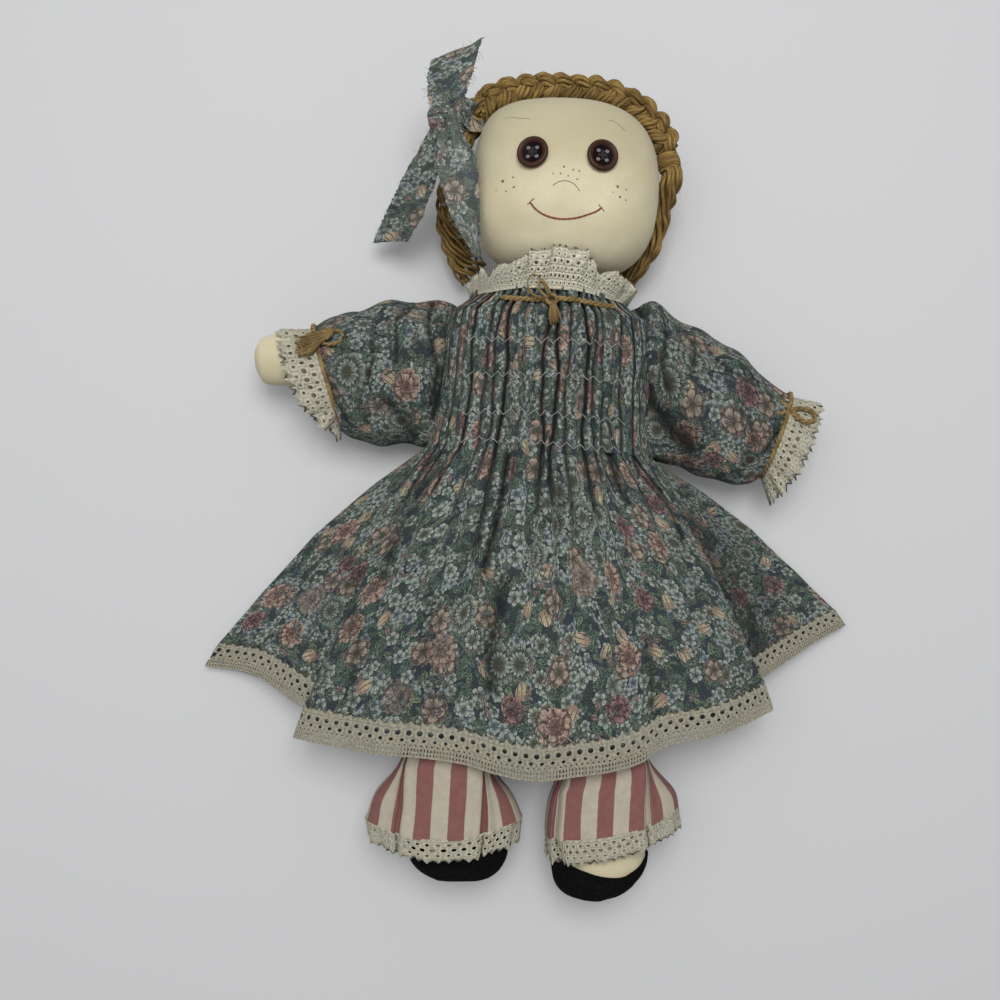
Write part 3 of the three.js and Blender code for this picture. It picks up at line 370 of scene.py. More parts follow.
def print_material(name="floral_print", fade=0.0):
    """The floral print, from the leaves at the bottom up to the strokes and specks of the ink; fade makes it paler."""
    m = Mat(name, (0.08, 0.11, 0.10), 0.92, 0.03, 0.2)
    p = m.uv()
    p2 = m.vmath("ADD", p, m.join(m.noise(p, 0.16, 2.0) * 3.6, m.noise(p, 0.13, 2.0) * 3.6))
    gap = m.mix(m.step(m.noise(p, 0.10, 2.0), 0.42, 0.6), (0.016, 0.024, 0.040), (0.018, 0.034, 0.030))
    dark = ((0.032, 0.056, 0.046), (0.095, 0.140, 0.100), (0.009, 0.018, 0.018))
    mid = ((0.048, 0.080, 0.060), (0.170, 0.225, 0.140), (0.012, 0.022, 0.020))
    cool = ((0.045, 0.080, 0.078), (0.150, 0.205, 0.180), (0.008, 0.017, 0.020))
    c = leaf_layer(m, p2, gap, 7.4, 3.3, dark, 1.0, 0.26)
    c = leaf_layer(m, p2, c, 6.2, 9.1, mid, 0.85)
    c = leaf_layer(m, p2, c, 5.2, 14.9, cool, 0.6, 0.16)
    c = leaf_layer(m, p2, c, 4.2, 5.7, mid, 0.6, 0.18)
    white = ((0.38, 0.41, 0.37), (0.215, 0.25, 0.22), (0.036, 0.050, 0.046))
    aster = ((0.42, 0.45, 0.39), (0.175, 0.20, 0.165), (0.024, 0.034, 0.028))
    blue = ((0.30, 0.345, 0.35), (0.150, 0.19, 0.205), (0.014, 0.024, 0.040))
    tan = ((0.42, 0.34, 0.265), (0.26, 0.19, 0.150), (0.055, 0.040, 0.032))
    rose = ((0.50, 0.370, 0.29), (0.290, 0.185, 0.145), (0.075, 0.034, 0.030))
    deep = ((0.33, 0.205, 0.185), (0.170, 0.085, 0.085), (0.038, 0.012, 0.018))
    cream = ((0.46, 0.385, 0.25), (0.32, 0.20, 0.15), (0.060, 0.038, 0.026))
    olive = (0.055, 0.052, 0.026)
    bunch = m.step(m.noise(p, 0.085, 1.0), 0.48, 0.54)
    small = bloom_layer(m, p, c, 4.4, 21.3, 2.15, 5, white, (olive, 0.16), (0.10, 2.0), 1.0, 0.0, 0.34)
    small = bloom_layer(m, p, small, 5.4, 52.3, 2.5, 5, blue, (olive, 0.15), (0.55, 2.0), 1.0, 0.0, 0.34)
    c = m.mix(bunch, c, small)
    c = bloom_layer(m, p, c, 7.0, 12.9, 3.0, 5, white, (olive, 0.18), (0.60, 2.0), 1.0, 0.0, 0.34)
    c = bloom_layer(m, p, c, 11.0, 33.1, 5.0, 9, aster, (olive, 0.26), (0.74, 2.0), 1.3, 0.42, 0.24)
    c = bud_layer(m, p, c, 12.5, 41.7, cream, (0.72, 2.0))
    c = bloom_layer(m, p, c, 14.5, 17.4, 6.0, 5, tan, (olive, 0.20), (0.74, 2.0), 1.3, 0.30, 0.26)
    c = bloom_layer(m, p, c, 16.8, 27.7, 7.6, 16, aster, (olive, 0.26), (0.0, 0.24), 1.6, 0.34, 0.16)
    c = bloom_layer(m, p, c, 16.8, 27.7, 6.9, 6, rose, ((0.09, 0.042, 0.032), 0.10), (0.24, 0.42), 2.3, 0.55, 0.12, 1)
    c = bloom_layer(m, p, c, 16.8, 27.7, 5.8, 5, deep, ((0.04, 0.014, 0.018), 0.12), (0.60, 0.72), 2.2, 0.50, 0.14, 1)
    stroke = ((0.10, 0.13, 0.105), (0.25, 0.30, 0.245), (0.018, 0.028, 0.026))
    c = leaf_layer(m, p2, c, 3.4, 61.3, stroke, 0.26, 0.15)
    blush = ((0.13, 0.10, 0.095), (0.30, 0.225, 0.20), (0.030, 0.020, 0.022))
    c = leaf_layer(m, p2, c, 4.6, 71.9, blush, 0.10, 0.20)
    lines = ink(m, p, 0.75, 0.040) * ink(m, m.vmath("ADD", p, (37.0, 11.0, 0.0)), 1.3, 0.034)
    c = m.mix(lines, m.mix(0.62, c, (0.007, 0.013, 0.015)), c)
    fleck = m.noise(p, 2.6, 3.0, 0.65)
    c = m.mix(m.step(fleck, 0.50, 0.72) * 0.50, c, (0.014, 0.022, 0.022))
    c = m.mix(m.step(fleck, 0.50, 0.30) * 0.22, c, (0.38, 0.40, 0.36))
    c = m.mix(0.01 + fade, c, (0.36, 0.37, 0.33))
    c = m.mix(0.16 - fade * 0.5, c, (0.0, 0.0, 0.0))
    # Painted shade from the shade attribute: pleat grooves, creases, the wing under the flap and the cloth under the
    # lace darken towards near black.
    fold = m.node("Attribute", attribute_name="shade")
    c = m.mix(V(m, fold.outputs["Fac"]) * 0.94, c, (0.003, 0.004, 0.004))
    m.colour(c)
    m.bump(weave(m, p, 0.42), 0.05, 0.5)
    return m.mat


def muslin_material():
    m = Mat("muslin", (0.60, 0.54, 0.38), 0.92, 0.1)
    p = m.place()
    slub = m.noise(m.vmath("MULTIPLY", p, (1.6, 0.10, 0.6)), 1.4, 3.0, 0.6, "3D")
    slub2 = m.noise(m.vmath("MULTIPLY", p, (0.10, 1.6, 0.6)), 1.4, 3.0, 0.6, "3D")
    tone = m.noise(p, 0.035, 3.0, 0.5, "3D")
    c = m.mix(m.step(tone, 0.35, 0.68), (0.475, 0.420, 0.275), (0.560, 0.505, 0.355))
    c = m.mix(m.step(slub + slub2, 0.85, 1.25) * 0.35, c, (0.46, 0.40, 0.255))
    # Painted shade: the muslin darkens towards the top of the head, from 62 to 104 mm up the doll.
    _, high, _ = m.split(p)
    c = m.mix(m.step(high + m.noise(p, 0.05, 2.0, 0.5, "3D") * 14.0, 62.0, 104.0) * 0.62, c, (0.30, 0.265, 0.165))
    m.colour(c)
    x, y, _ = m.split(p)
    k = TAU / 0.5
    threads = sin(x * k) * sin(y * k)
    m.bump(threads * 0.5 + slub + slub2, 0.07, 0.55)
    return m.mat


def stripe_material():
    m = Mat("striped_cotton", (0.30, 0.14, 0.13), 0.9, 0.03, 0.2)
    p = m.uv()
    x, y, _ = m.split(p)
    wobble = (m.noise(p, 0.6, 2.0) - 0.5) * 0.25
    wave = sin((x + wobble) * (TAU / 13.0))
    pink = m.mix(m.noise(p, 0.3, 3.0), (0.150, 0.062, 0.057), (0.205, 0.090, 0.082))
    cream = m.mix(m.noise(p, 0.3, 3.0), (0.32, 0.285, 0.22), (0.41, 0.37, 0.295))
    c = m.mix(m.step(wave, -0.07, 0.07), pink, cream)
    grain = m.noise(m.vmath("MULTIPLY", p, (4.0, 0.5, 1.0)), 1.0, 2.0)
    c = m.mix(m.step(grain, 0.5, 0.8) * 0.25, c, (0.30, 0.16, 0.13))
    m.colour(c)
    m.bump(weave(m, p, 0.45), 0.06, 0.5)
    return m.mat


def lace_material(name, light):
    m = Mat(name, light, 0.95, 0.05, 0.2)
    p = m.uv()
    x, y, _ = m.split(p)
    fine = sin(x * 9.0 + m.noise(p, 1.0, 1.0) * 4.0) * sin(y * 9.0)
    c = m.mix(m.step(m.noise(p, 0.9, 4.0, 0.7), 0.3, 0.75), tuple(v * 0.62 for v in light), light)
    c = m.mix(m.step(fine, 0.0, 0.9) * 0.4, c, tuple(v * 0.5 for v in light))
    m.colour(c)
    m.bump(fine + m.noise(p, 3.0, 2.0) * 2.0, 0.12, 0.8)
    return m.mat


def twine_material(name, dark, light, twist):
    """Jute: streaks of fibre that run round the yarn. The cloth coordinates go along the yarn and round it."""
    m = Mat(name, light, 0.8, 0.0, 0.25)
    x, y, _ = m.split(m.uv())
    lay = m.join(y * 3.0 + x * twist, x * 0.12 + y * 0.3, 0.0)
    fibre = m.noise(lay, 2.2, 4.0, 0.65)
    blotch = m.noise(m.join(x, y), 0.14, 2.0)
    c = m.mix(m.step(fibre, 0.32, 0.66), dark, light)
    c = m.mix(m.step(blotch, 0.35, 0.7) * 0.55, c, tuple(v * 0.55 for v in dark))
    m.colour(c)
    m.bump(fibre, 0.5, 0.9)
    return m.mat


def felt_material():
    m = Mat("black_cloth", (0.004, 0.004, 0.005), 1.0, 0.0, 0.08)
    p = m.place()
    fuzz = m.noise(p, 1.2, 4.0, 0.7, "3D")
    c = m.mix(m.step(fuzz, 0.4, 0.75), (0.0018, 0.0018, 0.002), (0.0065, 0.0065, 0.007))
    c = m.mix(m.step(m.noise(p, 5.0, 1.0, 0.5, "3D"), 0.72, 0.78) * 0.35, c, (0.05, 0.05, 0.05))
    m.colour(c)
    m.bump(fuzz, 0.25, 0.7)
    return m.mat


def thread_material(name, dark, light):
    m = Mat(name, light, 0.7, 0.1)
    x, y, _ = m.split(m.uv())
    ply = sin(x * 6.0 + y * 4.0)
    m.colour(m.mix(m.step(ply, -0.6, 0.6), dark, light))
    m.bump(ply, 0.06, 0.8)
    return m.mat


def button_material():
    m = Mat("button_plastic", (0.030, 0.012, 0.006), 0.4, 0.0, 0.16)
    p = m.place()
    c = m.mix(m.noise(p, 0.25, 3.0, 0.6, "3D"), (0.020, 0.0080, 0.004), (0.050, 0.020, 0.011))
    m.colour(c)
    m.put(m.bsdf.inputs["Roughness"], m.noise(p, 1.5, 2.0, 0.5, "3D") * 0.12 + 0.34)
    return m.mat


def dish_shade_material():
    """The dished middle of a button, painted near black for the shade that it lies in."""
    m = Mat("button_dish", (0.004, 0.002, 0.002), 0.6, 0.0, 0.05)
    m.colour(m.mix(m.noise(m.place(), 0.5, 3.0, 0.6, "3D"), (0.002, 0.001, 0.001), (0.009, 0.004, 0.004)))
    return m.mat


def stuffing_material():
    m = Mat("stuffing_fibre", (0.80, 0.78, 0.72), 1.0, 0.3)
    f = m.noise(m.place(), 0.7, 5.0, 0.7, "3D")
    m.colour(m.mix(f, (0.70, 0.67, 0.60), (0.88, 0.86, 0.82)))
    m.bump(f, 0.8, 0.8)
    return m.mat


# Meshes

def around(count):
    """Angles once round, the last one short of the first."""
    return np.linspace(0, TAU, count, endpoint=False)


def stack(*parts):
    """Joins coordinates, each spread to the shape that they share, into points."""
    return np.stack(np.broadcast_arrays(*parts), -1)


def smooth(values, reach):
    """Each value's mean with those up to reach places away."""
    return np.convolve(np.pad(values, reach, "edge"), np.ones(2 * reach + 1) / (2 * reach + 1), "valid")


def seamed(points):
    """A round grid with its first column repeated as its last, so that the cloth has a seam."""
    return np.concatenate([points, points[:, :1]], 1)


def fan(count, start=0):
    """Faces from a ring of points to the point after it."""
    return [(start + i, start + (i + 1) % count, start + count) for i in range(count)]


def build(name, verts, faces, uv, mat):
    """A mesh object; verts in millimetres, uv per vertex in millimetres of cloth."""
    mesh = bpy.data.meshes.new(name)
    verts = np.asarray(verts, float).reshape(-1, 3)
    sizes = np.array([len(f) for f in faces])
    loops = np.fromiter((i for f in faces for i in f), int, int(sizes.sum()))
    mesh.vertices.add(len(verts))
    mesh.vertices.foreach_set("co", (verts * MM).ravel().astype(np.float32))
    mesh.loops.add(len(loops))
    mesh.loops.foreach_set("vertex_index", loops)
    mesh.polygons.add(len(sizes))
    mesh.polygons.foreach_set("loop_start", np.concatenate([[0], np.cumsum(sizes)[:-1]]))
    mesh.polygons.foreach_set("use_smooth", np.full(len(sizes), True))
    layer = mesh.uv_layers.new(name="UVMap")
    flat = (np.asarray(uv, float).reshape(-1, 2) / UV_UNIT)[loops]
    layer.data.foreach_set("uv", flat.ravel().astype(np.float32))
    mesh.update(calc_edges=True)
    mesh.validate()
    mesh.materials.append(mat)
    obj = bpy.data.objects.new(name, mesh)
    bpy.context.collection.objects.link(obj)
    return obj


def grid_faces(n, m, wrap=False, flip=False):
    """Quads of n rows of m points; wrap joins the last column to the first."""
    i = np.arange(n - 1)[:, None]
    j = np.arange(m if wrap else m - 1)[None, :]
    k = (j + 1) % m
    quads = np.stack([i * m + j, i * m + k, (i + 1) * m + k, (i + 1) * m + j], -1).reshape(-1, 4)
    return (quads[:, ::-1] if flip else quads).tolist()


def grid(name, points, uv, mat, wrap=False, flip=False, thick=0.0, close=()):
    """A piece from an array of rows of points; close lists the rows, 0 or -1, that a fan of faces closes."""
    points = np.asarray(points, float)
    n, m = points.shape[:2]
    faces = grid_faces(n, m, wrap, flip)
    points, uv = points.reshape(-1, 3), np.asarray(uv, float).reshape(-1, 2)
    for row in close:
        rim = np.arange(m) + (row % n) * m
        onward = np.roll(rim, -1) if (row == -1) != flip else np.roll(rim, 1)
        faces += [[a, b, len(points)] for a, b in zip(rim.tolist(), onward.tolist())]
        points, uv = np.vstack([points, points[rim].mean(0)]), np.vstack([uv, uv[rim].mean(0)])
    obj = build(name, points, faces, uv, mat)
    if thick:
        thicken(obj, thick)
    return obj


def thicken(obj, thick, offset=0.0):
    """Gives a sheet of faces a thickness, in millimetres."""
    mod = obj.modifiers.new("thick", "SOLIDIFY")
    mod.thickness, mod.offset, mod.use_even_offset = thick * MM, offset, False
    graph = bpy.context.evaluated_depsgraph_get()
    mesh = bpy.data.meshes.new_from_object(obj.evaluated_get(graph))
    old = obj.data
    obj.modifiers.clear()
    obj.data = mesh
    bpy.data.meshes.remove(old)
    mesh.name = obj.name


def wear(obj, node=None, body=None):
    """Puts a piece on its body, in the place of a node of the frame."""
    if body:
        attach(obj, body)
    if node:
        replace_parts(obj, node)


def arc(points, axis=0):
    """Length along an axis of an array of points, from zero."""
    step = np.linalg.norm(np.diff(points, axis=axis), axis=-1)
    zero = np.zeros_like(np.take(step, [0], axis))
    return np.concatenate([zero, np.cumsum(step, axis)], axis)


def ripple(x, y, length, seed):
    """Smooth noise of about the given wavelength, between about -1 and 1."""
    r = np.random.default_rng(seed)
    total = 0
    for _ in range(WAVES):
        a = r.uniform(0, math.pi)
        k = TAU / (length * r.uniform(0.7, 1.6))
        total = total + np.sin(k * (np.cos(a) * x + np.sin(a) * y) + r.uniform(0, 7))
    return total / math.sqrt(WAVES)


def ease(t):
    """From 0 to 1, slow at both ends."""
    t = np.clip(t, 0, 1)
    return t * t * (3 - 2 * t)


def lerp(a, b, t):
    return a + (b - a) * t


def curve_through(points, count):
    """Evenly spaced points on a smooth curve through the given ones."""
    p = np.asarray(points, float)
    p = np.vstack([2 * p[0] - p[1], p, 2 * p[-1] - p[-2]])
    out = []
    for i in range(1, len(p) - 2):
        t = np.linspace(0, 1, 24, endpoint=False)[:, None]
        a, b, c, d = p[i - 1:i + 3]
        bend, twist = 2 * a - 5 * b + 4 * c - d, 3 * b - a - 3 * c + d
        out.append(0.5 * (2 * b + (c - a) * t + bend * t ** 2 + twist * t ** 3))
    return evenly(np.vstack(out + [p[-2][None]]), count)


def evenly(path, count):
    """Evenly spaced points along a path."""
    s = arc(path)
    even = np.linspace(0, s[-1], count)
    return np.stack([np.interp(even, s, path[:, k]) for k in range(3)], 1)


def frames(path):
    """Tangent, side and over directions along a path."""
    tangent = np.gradient(path, axis=0)
    tangent /= np.linalg.norm(tangent, axis=1, keepdims=True) + 1e-12
    side = np.cross(tangent, np.broadcast_to((0, 0, 1), tangent.shape))
    bad = np.linalg.norm(side, axis=1) < 1e-3
    side[bad] = np.cross(tangent[bad], (1, 0, 0.3))
    side /= np.linalg.norm(side, axis=1, keepdims=True)
    return tangent, side, np.cross(side, tangent)


def rings(path, size, sides, high=1.0, wide=1.0):
    """Rings of points round a path: size times wide to its sides and size times high over it."""
    _, side, over = frames(path)
    a = around(sides)[None, :, None]
    return path[:, None] + size[:, None, None] * (wide * np.cos(a) * side[:, None] + high * np.sin(a) * over[:, None])


class Bundle:
    """Collects many tubes into one mesh."""

    def __init__(self):
        self.verts, self.uvs, self.faces, self.count = [], [], [], 0

    def tube(self, path, radius, sides=6, squash=1.0, caps=True):
        path = np.asarray(path, float)
        first = self.count
        self.add(rings(path, np.broadcast_to(radius, (len(path),)), sides, squash),
                 grid_faces(len(path), sides, True), stack(arc(path)[:, None], around(sides)[None]))
        if caps:
            last = self.count - sides
            self.faces += [list(range(first, first + sides))[::-1], list(range(last, self.count))]

    def add(self, verts, faces, uv=None):
        verts = np.asarray(verts, float).reshape(-1, 3)
        self.faces += [[i + self.count for i in f] for f in faces]
        self.verts.append(verts)
        self.uvs.append(np.zeros((len(verts), 2)) if uv is None else np.asarray(uv).reshape(-1, 2))
        self.count += len(verts)

    def piece(self, name, mat):
        return build(name, np.vstack(self.verts), self.faces, np.vstack(self.uvs), mat)


def yarns(bundle, path, count, yarn, spread, pitch, seed, taper=0.0, sides=6, loose=0.0):
    """Yarns that twist round a path. spread is their distance from it, along which taper narrows them."""
    r = np.random.default_rng(seed)
    _, side, over = frames(path)
    s = arc(path)
    for i in range(count):
        phase = TAU * i / count + s * TAU / pitch + r.uniform(-0.2, 0.2)
        wander = 1 + 0.18 * np.sin(s * TAU / r.uniform(9, 17) + r.uniform(0, 6))
        splay = 1 + loose * (s / s[-1]) ** 2 * r.uniform(0.2, 1.6)
        reach = spread * wander * splay
        line = path + reach[:, None] * (np.cos(phase)[:, None] * side + np.sin(phase)[:, None] * over)
        size = yarn * (1 - taper * (s / s[-1]) ** 3) * r.uniform(0.9, 1.12)
        bundle.tube(line, size, sides)


def fuzz(bundle, path, radius, count, length, seed):
    """Short loose fibres that stand off a path."""
    r = np.random.default_rng(seed)
    tangent, side, over = frames(path)
    for _ in range(count):
        i = r.integers(1, len(path) - 1)
        a = r.uniform(0, TAU)
        out = np.cos(a) * side[i] + np.sin(a) * over[i]
        start = path[i] + out * radius * 0.9
        go = out * r.uniform(0.2, 0.8) + tangent[i] * r.uniform(-1, 1)
        size = r.uniform(0.4, 1) * length
        bend = np.cross(go, (0, 0, 1)) * r.uniform(-0.3, 0.3)
        line = np.array([start + go * size * t + bend * size * t * t for t in np.linspace(0, 1, 4)])
        line[:, 2] = np.maximum(line[:, 2], 0.3)
        bundle.tube(line, np.linspace(FIBRE, FIBRE * 0.4, 4), 3, caps=False)


# Head

HEAD = np.array((4.0, 70.0, 28.0))
HEAD_HALF = np.array((37.0, 35.0, 28.0))
FACE_HEIGHT = 54.0  # the first guess of face_px


def full(t, power):
    """A round outline, from 0 at both ends of t to 1 in the middle; the higher the power, the squarer."""
    return (1 - np.abs(2 * np.clip(t, 0, 1) - 1) ** power) ** (1 / power)


def head_width(t, side):
    """Half the head's width; it is squarer on the doll's right, and a little squarer at the chin."""
    low = ease((0.6 - t) / 0.45)
    return HEAD_HALF[0] * full(t, 2.6 + 0.2 * low + (1 - low) * (1 - side) / 2)


def head_point(t, angle):
    """t goes from the chin to the top, angle from the doll's left over the face."""
    c, s = np.cos(angle), np.sin(angle)
    width = head_width(t, c)
    depth = HEAD_HALF[2] * full(t, 2.4)
    c, s = np.sign(c) * np.abs(c) ** 0.9, np.sign(s) * np.abs(s) ** 0.9
    x = HEAD[0] + width * c
    y = HEAD[1] + (2 * t - 1) * HEAD_HALF[1]
    z = HEAD[2] + depth * s
    lumps = 0.35 * ripple(x, y, 26, 3) + 0.12 * ripple(x, y, 9, 4)
    seam = np.exp(-(np.abs(s) / 0.22) ** 1.3)
    pucker = 0.22 * seam * np.sin(TAU * y / 4.6 + 2 * ripple(x, y, 20, 5))
    inward = np.minimum(1.0, 6 * t * (1 - t))
    z = z + (lumps + pucker - 0.5 * np.exp(-(s / 0.03) ** 2)) * np.sign(s) * inward
    return np.stack([x, y, z], -1)


def face_at(x, y):
    """The point of the face over x and y."""
    t = (y - HEAD[1]) / (2 * HEAD_HALF[1]) + 0.5
    c = np.clip((x - HEAD[0]) / head_width(t, np.sign(x - HEAD[0]) * 0.6), -0.999, 0.999)
    p = head_point(t, np.arccos(np.sign(c) * np.abs(c) ** (1 / 0.9)))
    return stack(x, y, p[..., 2])


def face_px(px, py):
    """Where a mark of the photographed face lies on the model's face."""
    height = np.full(np.shape(px), FACE_HEIGHT)
    for _ in range(12):
        place = seen_at(px, py, height)
        height = face_at(place[..., 0], place[..., 1])[..., 2]
    return face_at(place[..., 0], place[..., 1])


def make_head(mats):
    t = np.broadcast_to((1 - np.cos(math.pi * np.linspace(0, 1, 90)[:, None])) / 2, (90, 120))
    for name, node, start in (("face_cloth", "face_panel", 0.0), ("head_back_cloth", "head_back_panel", -math.pi)):
        points = head_point(t, np.broadcast_to(np.linspace(start, start + math.pi, 120), t.shape))
        obj = grid(name, points, points[..., :2], mats["muslin"], flip=True)
        wear(obj, node, "head")
    make_face(mats)


# Marks of the face in the photograph's pixels. Pen lines: their points, half width, steps from one dash to the next.
PEN_LINES = (
    ([(505, 118.5), (512, 117.6), (520, 118.2), (530, 118.9)], 0.16, 2),
    ([(608.5, 120.4), (613.5, 121.3), (618, 124.3), (622, 127.8), (624.8, 131)], 0.13, None),
    ([(553, 185.5), (558, 182.0), (565.5, 180.7), (573, 183.2), (577, 187), (579.8, 191.2)], 0.14, None),
)
# Freckles: place and size.
FRECKLES = (
    (502.7, 181.3, 1.5), (513, 177.3, 0.9), (513.8, 187.2, 1.1), (496, 190.6, 0.6), (506.2, 191.4, 0.8),
    (617.7, 186.6, 1.3), (626.3, 189.7, 0.8), (620, 197, 1.1), (613, 192.2, 0.6), (625.8, 200.2, 0.8),
    (564, 166.7, 1.0), (573.3, 169.8, 0.9), (579.3, 171.1, 0.9), (553.2, 173.6, 0.7), (560.7, 173.6, 0.8),
    (568.2, 175.9, 0.8), (577, 179.2, 0.8),
)
MOUTH = ((530.2, 202.5), (536, 209.5), (545, 215.2), (556, 218.4), (566, 219.0), (577, 217.8), (588, 214.6),
         (596, 211.6), (600.5, 208.6))
MOUTH_ENDS = (((527.5, 204.5), (534, 198.5)), ((598.5, 204.5), (604, 211.0)), ((597, 211.5), (602.5, 207.5)))
PEN_LIFT = 0.04


def face_line(points, steps):
    """A line on the face through places of the photograph."""
    line = curve_through(np.array([face_px(*p) for p in points]), steps)
    return face_at(line[:, 0], line[:, 1])


def make_face(mats):
    pen, dots, mouth = Bundle(), Bundle(), Bundle()
    for points, radius, dash in PEN_LINES:
        line = face_line(points, 24) + (0, 0, PEN_LIFT)
        for part in [line[a:a + 2] for a in range(0, 23, dash)] if dash else [line]:
            pen.tube(part, radius, 5, squash=0.35)
    for px, py, size in FRECKLES:
        centre = face_px(px, py)
        a = around(12)
        r = 0.42 * size * (1 + 0.12 * np.sin(3 * a + px))
        ring = face_at(centre[0] + r * np.cos(a), centre[1] + r * np.sin(a)) + (0, 0, 0.03)
        dots.add(np.vstack([ring, centre + (0, 0, 0.07)]), fan(12))
    line = face_line(MOUTH, 60)
    stitch = np.abs(np.sin(np.arange(60) * math.pi / 4))
    line[:, 2] += 0.10 + 0.08 * stitch
    mouth.tube(line, 0.30 + 0.06 * stitch, 6, squash=0.6)
    for a, b in MOUTH_ENDS:
        ends = np.array([face_px(*a), face_px(*b)]) + (0, 0, 0.12)
        mouth.tube(curve_through(ends, 5), 0.17, 5)
    for bundle, name, mat in ((pen, "brows_and_nose", "pen"), (dots, "freckles", "pen"),
                              (mouth, "mouth_stitches", "red_thread")):
        wear(bundle.piece(name, mats[mat]), body="head")


# The button's outline from its middle underneath, round its rim, to its middle on top: radius and height.
BUTTON = ((0.001, 0.0), (3.8, 0.0), (5.4, 0.5), (6.0, 1.25), (6.0, 1.7), (5.7, 2.25), (5.2, 2.45), (4.7, 2.3),
          (4.1, 1.9), (3.7, 1.55), (3.0, 1.35), (1.8, 1.2), (0.001, 1.15))
DISH_RINGS, DISH_MIDDLE = ((3.85, 1.76), (3.0, 1.44)), 1.32
# A stitch through two holes: place across the button as a share of half its span, and height.
STITCH = ((-1, 1.15), (-0.75, 1.55), (0, 1.85), (0.75, 1.55), (1, 1.15))
EYES = (("right", 533.4, 153.1), ("left", 601.7, 156.3))


def lathe(profile, sides):
    """A round form from (radius, height) pairs, from the axis out and back to the axis."""
    p = np.asarray(profile, float)
    a = around(sides)
    return stack(p[:, 0, None] * np.cos(a), p[:, 0, None] * np.sin(a), p[:, 1, None]), grid_faces(len(p), sides, True)


def discs(bundle, to_face, angles, reach, radius, height, squash, sides, middle):
    """Small discs round the middle of a button, each with its middle a little higher or lower."""
    for a in angles:
        q = np.array((reach * math.cos(a), reach * math.sin(a), height))
        c = around(sides)
        ring = q + radius * np.stack([np.cos(c), squash * np.sin(c), 0 * c], -1)
        bundle.add(to_face(np.vstack([ring, q + (0, 0, middle)])), fan(sides))


def make_eyes(mats):
    for name, px, py in EYES:
        x, y = face_px(px, py)[:2]
        slope = (face_at(x + 4, y)[2] - face_at(x - 4, y)[2]) / 8
        turn = np.array(Matrix.Rotation(-math.atan(slope), 3, "Y"))
        base = np.array((x, y, face_at(x, y)[2] - 0.35))
        to_face = lambda points: points @ turn.T + base
        verts, faces = lathe(np.abs(curve_through([(a, 0, b) for a, b in BUTTON], 64)[:, (0, 2)]), 72)
        button, shine, dish, thread = Bundle(), Bundle(), Bundle(), Bundle()
        button.add(to_face(verts), faces)
        wear(button.piece(f"button_{name}", mats["button"]), f"button_eye_{name}", "head")
        quarters = np.arange(4) * math.pi / 2
        discs(thread, to_face, quarters, 1.55, 0.62, 1.30, 1, 14, -0.1)
        # Painted highlights: four pale discs round the button's middle stand in for its reflections.
        discs(shine, to_face, quarters + math.pi / 4, 2.35, 0.78, 1.47, 0.85, 12, 0.22)
        wear(shine.piece(f"button_glints_{name}", mats["glint"]), body="head")
        # The dish: a near-black cone of painted shade over the button's middle.
        c = around(32)
        circles = [np.stack([r * np.cos(c), r * np.sin(c), 0 * c + z], -1) for r, z in DISH_RINGS]
        dish.add(to_face(np.vstack([*circles, (0, 0, DISH_MIDDLE)])), grid_faces(2, 32, True) + fan(32, 32))
        wear(dish.piece(f"button_dish_{name}", mats["dish"]), body="head")
        for k in range(2):
            a = k * math.pi / 2
            across = np.array((math.cos(a), math.sin(a), 0))
            off = np.array((-math.sin(a), math.cos(a), 0))
            for j in (-1, 0, 1):
                line = [across * s * 1.75 + off * j * 0.42 + (0, 0, h - 0.15 * abs(j) * (s == 0) + 0.12 * k)
                        for s, h in STITCH]
                thread.tube(to_face(curve_through(line, 12)), 0.24, 6)
        wear(thread.piece(f"eye_thread_{name}_cross", mats["dark_thread"]), f"eye_thread_{name}", "head")


# Hair

def head_edge(angle, outside, z):
    """A point in the direction of an angle round the head, outside its outline, at a height."""
    t = (1 - np.cos(np.linspace(0, math.pi, 90))) / 2
    side = np.concatenate([head_width(t, 1.0), -head_width(t, -1.0)[::-1]])
    along = (2 * np.concatenate([t, t[::-1]]) - 1) * HEAD_HALF[1]
    turn = np.unwrap(np.arctan2(along, side))
    reach = np.interp(angle, turn, np.hypot(side, along)) + outside
    x = HEAD[0] + np.cos(angle) * reach
    y = HEAD[1] + np.sin(angle) * reach
    return np.stack([x, y, np.broadcast_to(z, x.shape)], -1)


BRAID = (math.radians(24), math.radians(144))  # where the braid starts and ends round the head
BRAID_PERIOD = 21.0  # length in which a strand comes back to its side
# Tails: which end of the braid, which way on, their route, how many yarns, seed, and how far they splay.
TAILS = (
    ("left", BRAID[0], -1, [(43.5, 66, 22), (40.0, 52, 19), (33, 42.5, 15.0), (25.5, 38.0, 11.5)], 11, 61, 0.15),
    ("right", BRAID[1], 1, [(-42.5, 80, 22), (-42.5, 60, 16), (-37, 45, 13), (-31, 39.0, 11.0)], 15, 71, 0.55),
)
TIE_TURNS = 5.5


